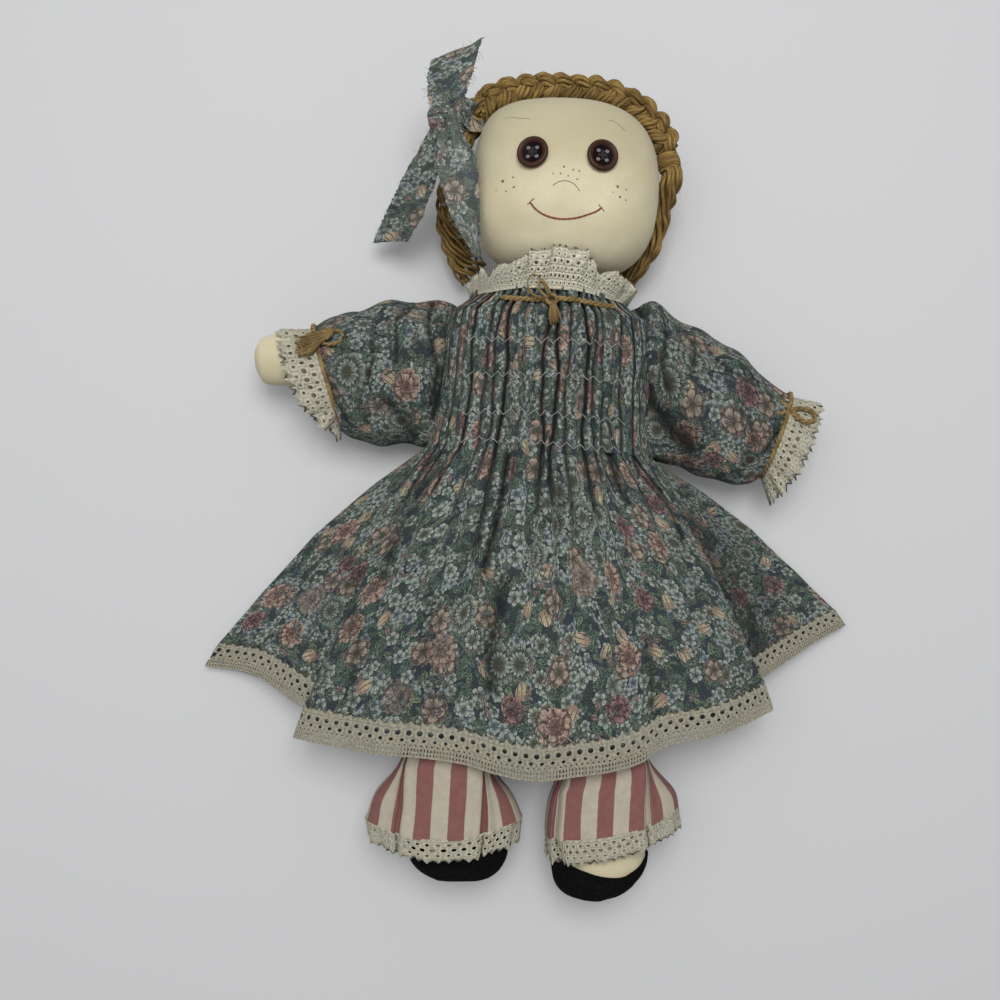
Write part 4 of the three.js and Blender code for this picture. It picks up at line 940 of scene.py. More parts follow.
def make_braid(mats):
    angle = np.linspace(BRAID[0], BRAID[1], 400)
    path = head_edge(angle, 4.2, 33.0)
    path[:, 2] += 1.2 * np.sin((angle - BRAID[0]) / (BRAID[1] - BRAID[0]) * math.pi)
    even = np.linspace(0, arc(path)[-1], 320)
    path = evenly(path, 320)
    outward = np.cross(frames(path)[0], (0, 0, 1))
    for k, strand in enumerate("abc"):
        phase = TAU * (even / BRAID_PERIOD + k / 3)
        wob = 0.35 * ripple(even, 0 * even, 14, 20 + k)
        line = path + outward * ((3.5 + wob) * np.sin(phase))[:, None]
        line[:, 2] += 2.5 * np.sin(2 * phase) + 0.3 * ripple(even, 0 * even, 11, 30 + k)
        b = Bundle()
        yarns(b, line, 6, 0.85, 1.75, 13, 40 + k, sides=7)
        yarns(b, line, 2, 0.9, 0.6, 15, 44 + k, sides=6)
        fuzz(b, line, 2.3, 110, 4.5, 50 + k)
        wear(b.piece(f"braid_{strand}", mats["twine"]), f"braid_strand_{strand}", "head")


def wrap_axis(angle, forward):
    """Where a tie of the braid starts, and its direction."""
    start = head_edge(np.array([angle]), 3.8, 32.0)[0]
    step = head_edge(np.array([angle + forward * 0.01]), 3.8, 32.0)[0] - start
    return start, step / np.linalg.norm(step)


def make_tails(mats):
    for name, angle, forward, places, count, seed, splay in TAILS:
        start, step = wrap_axis(angle, forward)
        b = Bundle()
        u = np.linspace(0, 1, 90)[:, None]
        a, size = TAU * TIE_TURNS * u, 3.6 + 0.5 * np.sin(math.pi * u)
        across = np.cos(a) * np.cross(step, (0, 0, 1)) + np.sin(a) * (0, 0, 1)
        b.tube(start + step * (1.8 + 6.2 * u) + size * across, 0.72, 7)
        core = np.array([start + step * u for u in np.linspace(1.4, 8.6, 12)])
        yarns(b, core, 6, 1.0, 2.0, 30, seed + 3, sides=7)
        wear(b.piece(f"hair_tie_{name}", mats["twine"]), f"hair_wrap_{name}", "head")
        path = curve_through([start + step * 7.0, start + step * 10.5, *places], 90)
        b = Bundle()
        yarns(b, path, count, 0.85, 3.3, 60, seed, taper=0.4, sides=7, loose=splay)
        yarns(b, path[:82], count // 2, 0.85, 1.6, 45, seed + 1, taper=0.4, sides=7)
        fuzz(b, path, 3.6, 60, 6.0, seed + 2)
        wear(b.piece(f"hair_loose_{name}", mats["twine"]), f"hair_tail_{name}", "head")


# Ribbon

CURL = 1.2  # how far a strip's edges stand up
RIBBON_KNOT = np.array((-46.0, 91.5, 41.5))
# Strips from the knot: their middle line in the photograph with its heights, widths, which way they face, material,
# place in the print, how crumpled, seed, loose threads and cut.
STRIPS = (
    ("ribbon_upper", "ribbon_end_upper",
     [(447, 122, 42), (446, 106, 43.5), (446.5, 91, 44), (450.5, 71, 44.5), (457, 50, 44.5), (463, 33, 44)],
     [8, 13.5, 16, 16.5, 16, 15], (0.15, 0, 1), "print_worn", 60, 1.2, 3, 70, 0.42),
    ("ribbon_lower", "ribbon_end_lower",
     [(446, 116, 43), (438, 138, 41.5), (425, 170, 36), (411, 203, 28), (397, 231, 19), (386, 254, 12)],
     [7, 10.5, 14.5, 16, 15.5, 15], (-0.2, 0.15, 1), "print_worn", 95, 1.2, 5, 70, 0.20),
    ("ribbon_on_face", "ribbon_face_strip",
     [(449, 116, 44), (451, 138, 44), (457.5, 168, 45), (464, 203, 44.5), (470, 228, 43), (476, 247, 40),
      (480, 257, 38)],
     [7, 10.5, 15, 14.5, 12, 7, 1.5], (-0.2, 0, 1), "print_pale", 140, 0.7, 8, 110, 0.0),
)


def cloth_strip(mats, name, path, widths, facing, mat, shift, crumple, seed, fray, cut=0.0,
                rests=("hung", ["ribbon_knot"])):
    """A torn strip of cloth along a path, with ragged edges and loose threads; cut shortens its left side."""
    n, m = 90, 26
    path = curve_through(path, n)
    tangent = np.gradient(path, axis=0)
    tangent /= np.linalg.norm(tangent, axis=1, keepdims=True)
    side = np.cross(tangent, facing)
    side /= np.linalg.norm(side, axis=1, keepdims=True)
    over = np.cross(side, tangent)
    s = arc(path)
    u = np.linspace(-1, 1, m)
    half = np.interp(np.linspace(0, 1, n), np.linspace(0, 1, len(widths)), widths) / 2
    r = np.random.default_rng(seed)
    ragged = 1 + 0.03 * r.standard_normal((n, 2))
    reach = np.where(u[None] < 0, half[:, None] * ragged[:, :1], half[:, None] * ragged[:, 1:]) * u[None]
    folds = crumple * np.sin(u[None] * 5.2 + 1.2 * np.sin(s[:, None] / 9) + seed) * np.minimum(1, 5.5 / half[:, None])
    lift = (folds * (0.4 + 0.6 * np.exp(-s[:, None] / 14)) + CURL * u[None] ** 2
            + 0.35 * ripple(s[:, None], reach, 9, seed))
    points = path[:, None] + reach[..., None] * side[:, None] + lift[..., None] * over[:, None]
    if cut:
        row = np.arange(n)[:, None] * (1 - cut * (1 - u[None]) / 2)
        points = np.stack([np.stack([np.interp(row[:, j], np.arange(n), points[:, j, k]) for k in range(3)], -1)
                           for j in range(m)], 1)
    points[..., 2] = np.maximum(points[..., 2], 0.5)
    uv = stack(shift + u[None] * half.max(), shift + s[:, None])
    obj = grid(name, points, uv, mats[mat], thick=SHEET)
    b = Bundle()
    for _ in range(fray):
        i = r.integers(2, n - 2)
        edge, sign = (0, -1) if r.random() < 0.5 else (m - 1, 1)
        if r.random() < 0.25:
            i, edge = n - 1, r.integers(0, m)
        start = points[i, edge]
        go = side[i] * sign * r.uniform(0.3, 1) + tangent[i] * r.uniform(-0.8, 0.9) + over[i] * r.uniform(-0.4, 0.4)
        size = r.uniform(0.8, 3.2)
        line = np.array([start + go * size * t for t in (0, 0.35, 0.7, 1)])
        line[:, 2] = np.maximum(line[:, 2] + np.array((0, 0.1, 0.1, -0.2)), 0.3)
        b.tube(line, 0.07, 3, caps=False)
    wear(b.piece(name + "_frayed_threads", mats["pale_thread"]), body="head")
    wear(obj, body="head")
    declare(obj, *rests, *cut_size(points))
    return obj


def make_ribbon(mats):
    for name, node, places, widths, facing, mat, shift, crumple, seed, fray, cut in STRIPS:
        path = [seen_at(*place) for place in places]
        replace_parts(cloth_strip(mats, name, path, widths, facing, mat, shift, crumple, seed, fray, cut), node)
    a = around(48)[None, :]
    t = np.linspace(0.02, 0.98, 30)[:, None]
    rim = np.sin(math.pi * t) ** 0.55 * (1 + 0.10 * np.sin(5 * a + 3 * t) + 0.07 * np.sin(9 * a - 6 * t))
    points = RIBBON_KNOT + stack(5.6 * rim * np.cos(a) + 1.5 * (t - 0.5), 13.5 * (t - 0.5), 4.6 * rim * np.sin(a))
    knot = grid("ribbon_wrapped_knot", points, stack(a * 4.5 + 20, t * 14), mats["print_worn"], wrap=True,
                close=(0, -1))
    wear(knot, "ribbon_knot", "head")
    start, step = wrap_axis(BRAID[1], 1)
    tie = start + step * 4.5
    path = [RIBBON_KNOT + (2, 1.5, 1), RIBBON_KNOT + (7.5, 3.0, 0.5), tie + (1.0, 1.0, 4.6), tie + (4.8, 2.0, 0.5)]
    cloth_strip(mats, "ribbon_round_tie", path, [7, 9.5, 11, 9], (0, 0, 1), "print_worn", 33, 0.8, 12, 8,
                rests=("folded", ["hair_wrap_right"]))


# Dress

# The pleats' grooves: how far across the photograph, PLEATS_ROW pixels down, how deep, and how far down the skirt.
PLEATS = np.array([
    (441, 0.8, 0.10), (448, 0.9, 0.16), (456.8, 0.8, 0.06), (464.4, 0.7, 0.12), (473, 1.1, 0.10), (489, 0.85, 0.20),
    (498, 0.9, 0.08), (508.8, 1.25, 0.30), (517, 0.45, 0.02), (525.7, 0.7, 0.08), (535, 0.5, 0.05), (544, 1.0, 0.14),
    (553.2, 1.15, 0.10), (563.2, 0.85, 0.22), (572, 0.5, 0.02), (580.8, 1.2, 0.12), (589.2, 0.9, 0.06),
    (597.6, 0.8, 0.16), (607.6, 0.7, 0.05), (617.5, 0.9, 0.22), (632, 1.0, 0.10), (641, 0.8, 0.14), (649, 0.8, 0.08),
])
PLEATS_ROW, CHEST = 387, 43.0
PLACES = 1 - np.arccos(np.clip(seen_at(PLEATS[:, 0], PLEATS_ROW, 38.0)[:, 0] / CHEST, -0.985, 0.985)) / math.pi
STRENGTH, LONG = PLEATS[:, 1] ** 1.6, PLEATS[:, 2]
CLOTH_U, TOP_U = 330.0, 150.0  # width of the front's cloth, and how much of it shows between the pleats
BACK_U = 400  # place of the back's cloth in the print
NECK_Y, WAIST_Y, BODICE_LONG = 25, -35.0, 60
WAIST, FRONT_HIGH = 45.5, 39.0  # half the waist's width, and its height in front
DARK_FROM, DARK_OVER = 0.30, 0.62  # the groove's depth at which its painted shade starts, and over which it darkens fully


def grooves(share, down, width, wobble):
    """How deep the cloth lies in the pleats' grooves (0 to 1), and the share of the hidden cloth before each place."""
    depth, before = 0, 0
    for i, (place, strength, far) in enumerate(zip(PLACES, STRENGTH, LONG)):
        line = place + wobble * np.sin(down * 7.0 + i * 2.4) + wobble * 0.5 * np.sin(down * 17.0 + i)
        off = (share - line) / width
        fade = strength * (1 - ease((down - 1 - far) / 0.16))
        depth = depth + fade * np.exp(-np.abs(off) ** 1.6)
        before = before + 0.5 * (1 + np.tanh(off * 1.6)) * strength / STRENGTH.sum()
    return depth, before


def bodice_half(y):
    """Half the bodice's width at a height on the doll."""
    widths = [0.744, 0.95, 0.98, 1, 1, 1, 1, 1.01, 1.02, 1.04, 1.058]
    return CHEST * np.interp((NECK_Y - y) / BODICE_LONG, np.linspace(0, 1, 11), widths)


def share_of(x, y, reach=1.0, limit=0.99):
    """Where a place across the bodice lies, as a share of the way round its front."""
    return 1 - np.arccos(np.clip(x / bodice_half(y) * reach, -limit, limit)) / math.pi


def waist_curve(share, half, top, low=False):
    """Places round the dress by their share of the way round, over its front or, where low, under its back."""
    angle = math.pi * (1 - share)
    c, s = np.cos(angle), np.sin(angle)
    x = np.sign(c) * np.abs(c) ** 0.9 * half
    over = np.clip(s, 0, 1) ** 0.7
    z = np.maximum(MID - 1.12 * MID * over, 0.25) if low else MID + (top - MID) * over
    return x, z, over


def bodice_front(share, y):
    """The smocked front: share goes from the doll's right side seam to its left one."""
    t = (NECK_Y - y) / BODICE_LONG
    x, z, over = waist_curve(share, bodice_half(y), 40.2 - t)
    depth, before = grooves(share, t, 0.0052, 0.0040)
    z = z + over * (0.4 - 3.4 * np.clip(depth, 0, 1.1) + 0.4 * ripple(x, y, 12, 10) + 0.25 * ripple(x, y, 5, 12))
    u = TOP_U * share + before * (CLOTH_U - TOP_U)
    # The third value is painted shade in the pleats' grooves.
    return stack(x, y, z), stack(u, NECK_Y - y), over * ease((depth - DARK_FROM) / DARK_OVER)


# The hem of the front and of the back, from the doll's right to its left.
HEM = np.array([
    (-132, -129.0, 3.2), (-122, -129.4, 5), (-110.8, -130.5, 9.5), (-100, -135.0, 14), (-90.6, -139.7, 18),
    (-82, -143.2, 20), (-77.5, -146.5, 21.5), (-80, -149.6, 23), (-86.5, -151.0, 25), (-88.6, -151.4, 27.2),
    (-84, -151.6, 30.5), (-75, -152.4, 34.5), (-62, -153.4, 37.5), (-49.5, -153.9, 38.8), (-36, -154.6, 38.2),
    (-22.4, -155.7, 38.8), (-10, -158.4, 38.4), (3, -160.5, 39), (13, -159.6, 38.6), (21.8, -157.5, 39.2),
    (33, -154.8, 38.4), (43.8, -151.2, 39), (52, -145.2, 38.6), (62, -142.0, 38.4), (72, -139.5, 37), (84, -135.0, 33),
    (92.5, -131.5, 28.6), (95.8, -129.6, 26.2), (92.0, -127.0, 24.0), (86.5, -124.6, 22.0), (86.0, -122.4, 20.0),
    (92.2, -119.9, 17.5), (104, -112.6, 12), (118, -103.8, 6.5), (130.6, -96.6, 3.2),
], float)


BACK_HEM = np.array([
    (-132, -129.0, 2.2), (-118, -130.5, 1.2), (-100, -136.0, 0.8), (-80, -144.0, 0.8), (-60, -151.0, 0.8),
    (-30, -156.0, 0.8), (0, -158.5, 0.8), (30, -154.5, 0.8), (60, -143.0, 0.8), (80, -131.0, 0.8), (100, -118.0, 0.8),
    (118, -104.5, 1.2), (130.6, -96.6, 2.2),
], float)

# Creases of the skirt: their line in the photograph, its height, how deep and wide they are, and how dark their painted
# shade is.
SKIRT_CREASES = (
    ([(508, 455), (504, 480), (497, 520), (489, 550), (484, 572)], 38, 3.2, 1.3, 0.95),
    ([(503, 585), (500, 605), (494, 632), (489, 655), (491, 690)], 38, 2.6, 3.4, 0.75),
    ([(610, 452), (614.8, 469.5), (620.8, 487.3), (629.7, 503.2)], 38, 3.4, 1.6, 0.95),
    ([(634, 455), (641, 472), (655.4, 487.3), (673.2, 509), (685, 540.7)], 37, 2.0, 1.2, 0.8),
    ([(440, 455), (425, 480), (406, 512), (396, 540), (380, 580)], 34, 2.4, 3.6, 0.6),
    ([(345, 560), (352, 600), (357, 650), (350, 700)], 30, 1.6, 3.2, 0.35),
    ([(560, 470), (562, 500), (556, 530)], 38, 1.8, 1.6, 0.5),
    ([(432, 600), (428, 650), (430, 700)], 38, 1.2, 3.5, 0.3),
    ([(648, 640), (652, 680), (655, 715)], 38, 1.4, 2.6, 0.45),
)
FLAP = 0.845  # share of the way round at which the shaded wing of the front begins


def flare(t):
    """How far out the skirt's cloth lies between waist and hem, by its share of the way down."""
    return np.interp(t, (0, 0.16, 0.22, 0.4, 0.66, 0.78, 0.9, 1), (0, 0.225, 0.30, 0.515, 0.75, 0.845, 0.945, 1))


def skirt_front_grid():
    """The front of the skirt: its points, the cloth's own coordinates, and the painted shade of its pleats, creases and
    wing.
    """
    hem = curve_through(HEM, 700)[None]
    share = np.linspace(0, 1, 700)[None]
    t = np.linspace(0, 1, 110)[:, None]
    wx, wz, over = waist_curve(share, WAIST, FRONT_HIGH)
    x = lerp(wx, hem[..., 0], flare(t))
    y = lerp(WAIST_Y, hem[..., 1], t)
    z = lerp(wz, hem[..., 2], ease(t * 1.55))
    depth, before = grooves(share, 1 + t, lerp(0.0060, 0.0080, t), 0.0045)
    soft = ease(t * 3)
    inside = np.clip((hem[..., 2] - 6) / 22, 0, 1)
    broad = (1.5 * np.sin(TAU * 8.6 * share + 1.3 * np.sin(5 * share) + 0.6) * ease(t * 2.2)
             + 0.8 * np.sin(TAU * 15.3 * share + 1.9) * ease(t * 2) * (1 - 0.5 * t))
    z = z + soft * (inside * (0.75 * broad + 0.5 * ripple(x, y, 22, 14)) + 0.18 * ripple(x, y, 7, 15))
    over = lerp(over, 1, soft)
    z = z - over * np.clip(depth, 0, 1.1) * lerp(3.3, 2.2, ease(t * 2))
    z = np.maximum(z, np.maximum(1.4, (MID + 18.0 * over ** 0.5) * (t < 0.3) * (np.abs(x) < 38)))
    u = lerp(TOP_U * share + before * (CLOTH_U - TOP_U), CLOTH_U * share, ease(t * 1.25))
    waist = bodice_front(share, np.full((1, 1), WAIST_Y))[0]
    points = lerp(waist, stack(x, y, z), ease(t / 0.07)[..., None])
    v = BODICE_LONG + arc(points).mean(1, keepdims=True) * 0.98
    shade = over * ease((depth - DARK_FROM) / DARK_OVER) * lerp(1.0, 0.6, soft)
    for crease in SKIRT_CREASES:
        press_in(points, shade, *crease)
    # Painted shadow on the wing, which lies under the flap's edge.
    wing = ease((share - FLAP) / 0.012) * (1 - 0.35 * ease((share - FLAP) / 0.1)) * ease((t - 0.10) / 0.2)
    return points, stack(u, v), np.maximum(shade, 0.80 * wing * inside ** 0.3)


def skirt_back_grid():
    """The back of the skirt, which lies on the floor: its points and the cloth's own coordinates."""
    hem = curve_through(BACK_HEM, 260)[None]
    share = np.linspace(0, 1, 260)[None]
    t = np.linspace(0, 1, 60)[:, None]
    wx, wz, _ = waist_curve(share, WAIST, 0, True)
    x = lerp(wx, hem[..., 0], flare(t))
    y = lerp(WAIST_Y, hem[..., 1], t)
    z = lerp(wz, hem[..., 2], ease(t * 2.5))
    folds = np.abs(np.sin(math.pi * 15 * share + 2 * np.sin(6 * share)))
    z = z + 0.8 * folds * ease(t * 3) * (1 - 0.4 * t) + 0.2 * (1 + ripple(x, y, 18, 17)) * ease(t * 2)
    return stack(x, y, np.maximum(z, 0.35)), stack(BACK_U + CLOTH_U * share, BODICE_LONG + 125 * t)


def press_in(points, shade, line, height, deep, wide, dark, above=0.0):
    """Presses a crease into a surface that the photograph shows from above, and paints shade along it."""
    line = seen_at(*np.array(line, float).T, height)
    line = curve_through(line, 14)[:, :2]
    best = np.full(points.shape[:-1], 1e9)
    for a, b in zip(line[:-1], line[1:]):
        go = b - a
        t = np.clip(((points[..., :2] - a) @ go) / (go @ go), 0, 1)
        best = np.minimum(best, np.linalg.norm(points[..., :2] - a - t[..., None] * go, axis=-1))
    top = points[..., 2] > above
    points[..., 2] -= np.where(top, deep * np.exp(-(best / wide) ** 2), 0)
    np.maximum(shade, np.where(top, dark * np.exp(-(best / (0.8 * wide)) ** 2), 0), out=shade)


def darken(obj, shade):
    """Keeps the painted shade of folds, creases and hidden cloth, with which the cloth's material darkens its colour.
    """
    layer = obj.data.attributes.new("shade", "FLOAT", "POINT")
    layer.data.foreach_set("value", np.clip(shade, 0, 1).ravel().astype(np.float32))


def cut_size(points):
    """The cloth of a grid as it was cut: its greatest width, its length, and its area, followed through the folds."""
    across, down = arc(points, 1)[:, -1], arc(points)[-1]
    return across.max(), down.mean(), across.mean() * down.mean()


def declare(obj, held, rests, width, length, area=None):
    """Takes a sheet's cut size and area, and does nothing with them."""
    width * MM
    length * MM
    area and area * MM * MM
    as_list(rests)


FRONT_CLOTH, BACK_CLOTH = 0.972, 0.935  # shares of the skirt that are cloth; the lace covers the rest
LACE_FROM, UNDER_LACE = 0.893, 0.918  # shares at which the lace starts, and from which the cloth under it has painted shade


def make_skirt(mats):
    points, uv, shade = skirt_front_grid()
    cloth = int(len(points) * FRONT_CLOTH)
    # Painted shade on the cloth under the lace, which shows through its holes.
    shade = np.maximum(shade, 0.9 * (np.linspace(0, 1, len(points)) > UNDER_LACE)[:, None])
    front = grid("skirt_front_cloth", points[:cloth], uv[:cloth], mats["print"])
    darken(front, shade[:cloth])
    back_points, back_uv = skirt_back_grid()
    cloth = int(len(back_points) * BACK_CLOTH)
    back = grid("skirt_back_cloth", back_points[:cloth], back_uv[:cloth], mats["print"], flip=True)
    for obj, node, cut in ((front, "skirt_front", points), (back, "skirt_back", back_points)):
        declare(obj, "gathered", ["bodice_front"], *cut_size(cut))
        wear(obj, node)
        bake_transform(obj)
    lace = Bundle()
    for grid_points, length, side in ((points, 330.0, 1), (back_points, 290.0, -1)):
        flat, faces = lace_flat(length, HEM_LACE)
        place = sample(grid_points, flat[:, 0] / length, lerp(1.0, LACE_FROM, flat[:, 1] / HEM_LACE[-1][1]))
        place[:, 2] += side * 0.35 + (0.15 if side > 0 else 0)
        place[:, 2] = np.maximum(place[:, 2], 0.3)
        lace.add(place, faces, flat)
    obj = lace.piece("hem_lace_edging", mats["lace"])
    thicken(obj, HEM_SHEET)
    declare(obj, "gathered", ["skirt_front_cloth"], arc(points[-1])[-1] + arc(back_points[-1])[-1], 13.4)
    wear(obj, "hem_lace", "hips")


def sample(points, u, v):
    """Points on a grid's surface: u along its rows, v down them, both from 0 to 1."""
    n, m = points.shape[:2]
    x = np.clip(np.asarray(u), 0, 1) * (m - 1)
    y = np.clip(np.asarray(v), 0, 1) * (n - 1)
    i, j = np.minimum(y.astype(int), n - 2), np.minimum(x.astype(int), m - 2)
    a, b = (x - j)[:, None], (y - i)[:, None]
    return ((points[i, j] * (1 - a) + points[i, j + 1] * a) * (1 - b)
            + (points[i + 1, j] * (1 - a) + points[i + 1, j + 1] * a) * b)


# Rows of a lace: from and to which height, a cell's length, its hole's width and height, and its shift in cells.
HEM_LACE = (
    (0.0, 0.5, 2.4, 0, 0, 0), (0.5, 2.0, 1.2, 0.62, 1.15, 0), (2.0, 3.6, 1.2, 0.62, 1.15, 0),
    (3.6, 5.2, 2.0, 0.8, 0.7, 0.5), (5.2, 7.2, 4.0, 1.5, 1.3, 0.5), (7.2, 10.4, 4.0, 2.0, 1.9, 0),
    (10.4, 12.6, 4.0, 0.7, 0.7, 0.5),
)
CUFF_LACE = (
    (0.0, 1.6, 3.6, 0, 0, 0), (1.6, 4.2, 3.6, 1.5, 1.4, 0.5), (4.2, 7.0, 3.6, 1.9, 1.7, 0),
    (7.0, 9.6, 3.6, 1.3, 1.2, 0.5), (9.6, 11.6, 3.6, 0, 0, 0),
)
COLLAR_LACE = (
    (0.0, 1.0, 2.4, 0, 0, 0), (1.0, 2.8, 2.4, 0.8, 0.75, 0.5), (2.8, 4.8, 2.4, 0.95, 0.9, 0),
    (4.8, 6.6, 2.4, 0.8, 0.75, 0.5), (6.6, 8.6, 3.6, 1.2, 1.0, 0), (8.6, 10.2, 3.6, 0.8, 0.7, 0.5),
    (10.2, 11.6, 3.6, 0, 0, 0),
)
LACE_HIGH = 11.6  # height of the cuff and collar lace
# Lengths of the lace strips before they were gathered.
COLLAR_LONG, CUFF_LONG, BLOOMERS_LONG = 300.0, 150.0, 185.0


def lace_flat(length, rows):
    """A flat lace as points and faces: cells with round holes, and a scalloped edge on the last row."""
    verts, faces, count = [], [], 0
    a = around(8) + math.pi / 4
    corner = np.array([(1, 1), (0, 1), (-1, 1), (-1, 0), (-1, -1), (0, -1), (1, -1), (1, 0)], float)
    for number, (low, high, period, hole_w, hole_h, shift) in enumerate(rows):
        cells = max(int(round(length / period)), 1)
        period = length / cells
        for i in range(cells):
            mid = np.array(((i + 0.5 + shift) * period, (low + high) / 2))
            outer = mid + corner * (period / 2, (high - low) / 2)
            if number == len(rows) - 1:
                top = outer[:, 1] > mid[1]
                outer[top, 1] += 1.15 * np.cos(TAU * (outer[top, 0] / period - shift)) - 0.5
            if hole_w:
                jog = 0.09 * np.sin(i * 12.9898 + number * 4.1)
                inner = mid + np.stack([np.cos(a) * hole_w / 2, np.sin(a) * hole_h / 2], 1) * (1 + jog)
                verts += [outer, inner]
                faces += [(count + k, count + (k + 1) % 8, count + 8 + (k + 1) % 8, count + 8 + k) for k in range(8)]
                count += 16
            else:
                verts.append(np.vstack([outer, mid[None]]))
                faces += fan(8, count)
                count += 9
    flat = np.vstack(verts)
    flat[:, 0] = np.clip(flat[:, 0], 0, length)
    return flat, faces


def lace_round(length, rows):
    """A flat lace, and how far round and how far up each of its points is, as shares."""
    flat, faces = lace_flat(length, rows)
    return flat, faces, flat[:, 0] / length, flat[:, 1] / LACE_HIGH


def lace_piece(name, place, faces, flat, mat, rests, node, body=None):
    """A gathered lace from a flat one and the places of its points."""
    place[:, 2] = np.maximum(place[:, 2], 0.5)
    obj = build(name, place, faces, flat, mat)
    thicken(obj, SHEET)
    declare(obj, "gathered", [rests], flat[:, 0].max(), LACE_HIGH)
    wear(obj, node, body)
    return obj


STITCH_ROWS = (6.6, -7.2, -22.0, -33.2)  # how far down the doll the zigzag rows run
DRAWSTRING_Y = 22.6


def make_bodice(mats):
    y = np.linspace(28.6, WAIST_Y, 116)[:, None]
    points, uv, shade = bodice_front(np.linspace(0, 1, 620)[None], y)
    points[..., 2] -= 1.2 * np.exp(-((DRAWSTRING_Y - y) / 1.6) ** 2)
    points[..., 1] += ease((y - NECK_Y) / 3.6) * 1.3 * ripple(points[..., 0], 0 * points[..., 0], 5.5, 88)
    front = grid("bodice_front_cloth", points, uv, mats["print"])
    darken(front, shade)
    x, z, _ = waist_curve(np.linspace(0, 1, 160)[None], bodice_half(y), 0, True)
    back_points = stack(x, y, z + 0.25 * (1 + ripple(x, y, 15, 19)))
    back = grid("bodice_back_cloth", back_points, back_points[..., :2] + (BACK_U, 200), mats["print"], flip=True)
    for obj, node, cut in ((front, "bodice_front", points), (back, "bodice_back", back_points)):
        declare(obj, "gathered", ["torso_front_panel"], *cut_size(cut))
        wear(obj, node, "torso")
    for k, row in enumerate(STITCH_ROWS):
        b = Bundle()
        r = np.random.default_rng(80 + k)
        turns = -35 + np.cumsum(np.append(0, r.uniform(1.9, 2.8, 29)))
        x = np.linspace(turns[0], turns[-1], 420)
        side = np.where(np.arange(len(turns)) % 2, 1.25, -1.25) * r.uniform(0.75, 1.1, len(turns))
        y = row + np.interp(x, turns, side) + 0.5 * np.sin(x / 11 + k)
        line = bodice_front(share_of(x, row), y)[0]
        line[:, 0] = x
        ridge = np.max([np.roll(line[:, 2], j) for j in range(-9, 10)], 0)
        line[:, 2] = smooth(ridge, 6) + 0.12
        b.tube(line[12:-12], 0.10, 5)
        wear(b.piece(f"smocking_stitches_{k + 1}", mats["thread"]), f"smocking_row_{k + 1}", "torso")


def make_collar(mats):
    """A lace ruffle from the neckline up over the chin; at both sides its lumps lean outwards."""
    flat, faces, share, up = lace_round(COLLAR_LONG, COLLAR_LACE)
    angle = TAU * share
    c, s = np.cos(angle), np.sin(angle)
    lump = np.sin(TAU * 17 * share + 2.0 * np.sin(angle * 3)) + 0.5 * np.sin(TAU * 29 * share + 2)
    lean = np.clip((np.abs(c) - 0.35) / 0.4, 0, 1)
    half = lerp(31.0, 33.2, up) + 1.2 * lump * up
    front = lerp(40.6, 48.0, ease(up)) + lerp(0.7, 2.4, lean) * lump * up
    back = lerp(1.0, 3.0, up) - 0.5 * lump * up
    z = np.where(s > 0, MID + (front - MID) * np.abs(s) ** 0.6, MID - (MID - back) * np.abs(s) ** 0.7)
    dome = np.where(s > 0, np.exp(-((c * half - 2) / 15) ** 2), 0)
    y = (26.6 - 1.4 * lean + up * (8.0 + 6.6 * dome - 1.5 * lean)
         + lerp(0.5, 2.2, lean) * lump * up * np.cos(5 * angle + 1))
    x = 1.2 * up + c * half + 1.4 * lump * up * s
    obj = lace_piece("collar_ruffle", stack(x, y, z), faces, flat, mats["lace_collar"], "bodice_front_cloth",
                     "collar_lace")
    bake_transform(obj)


UP = np.array((0, 0, 1.0))
# A bow's loop: how far along and away as shares of its size, and height.
LOOP = ((0, 0, 0.3), (0.35, 0.30, 1.4), (0.85, 0.34, 1.6), (1.02, 0.05, 1.0), (0.75, -0.2, 0.5), (0.3, -0.12, 0.3),
        (0, 0, 0.2))


def bow(bundle, centre, along, size, yarn, seed):
    """The two uneven loops of a twine bow."""
    r = np.random.default_rng(seed)
    along = np.asarray(along, float) / np.linalg.norm(along)
    away = np.cross(along, UP)
    for sign in (-1, 1):
        k = size * r.uniform(0.85, 1.15)
        line = [centre + along * sign * a * k + away * b * k + UP * h for a, b, h in LOOP]
        yarns(bundle, curve_through(line, 40), 2, yarn * 0.6, yarn * 0.55, 4.5, seed + sign, sides=5)


def tassel(bundle, start, direction, length, spread, count, seed):
    """Loose fibres that fan out from a point, and droop."""
    r = np.random.default_rng(seed)
    direction = np.asarray(direction, float) / np.linalg.norm(direction)
    side = np.cross(direction, UP)
    t = np.linspace(0, 1, 6)[:, None]
    for _ in range(count):
        a, b = r.uniform(-1, 1), r.uniform(-1, 1)
        size = length * r.uniform(0.6, 1.05)
        out = spread * t ** 0.7
        line = start + direction * size * t + side * a * out + UP * (b * 0.5 * out - 0.8 * t * t)
        line[:, 2] = np.maximum(line[:, 2], 0.4)
        bundle.tube(line, np.linspace(0.26, 0.12, 6), 4, caps=False)


NECK_BOW = np.array((0.5, 22.0, 42.6))
# The bow's loops, from its middle, with the yarn's radius and how many points.
NECK_LOOPS = (
    (((-1, 1, 0.5), (-4.5, 6.5, 2.2), (-7.5, 8.5, 3.0), (-9.6, 5.5, 2.6), (-8.0, 1.5, 1.6), (-3, 0, 0.6)), 0.35, 40),
    (((0, 1, 0.5), (-2.5, 5.0, 2.0), (-4.8, 6.3, 2.6), (-5.0, 3.0, 2.0), (-2, 0.5, 0.9)), 0.5, 30),
)


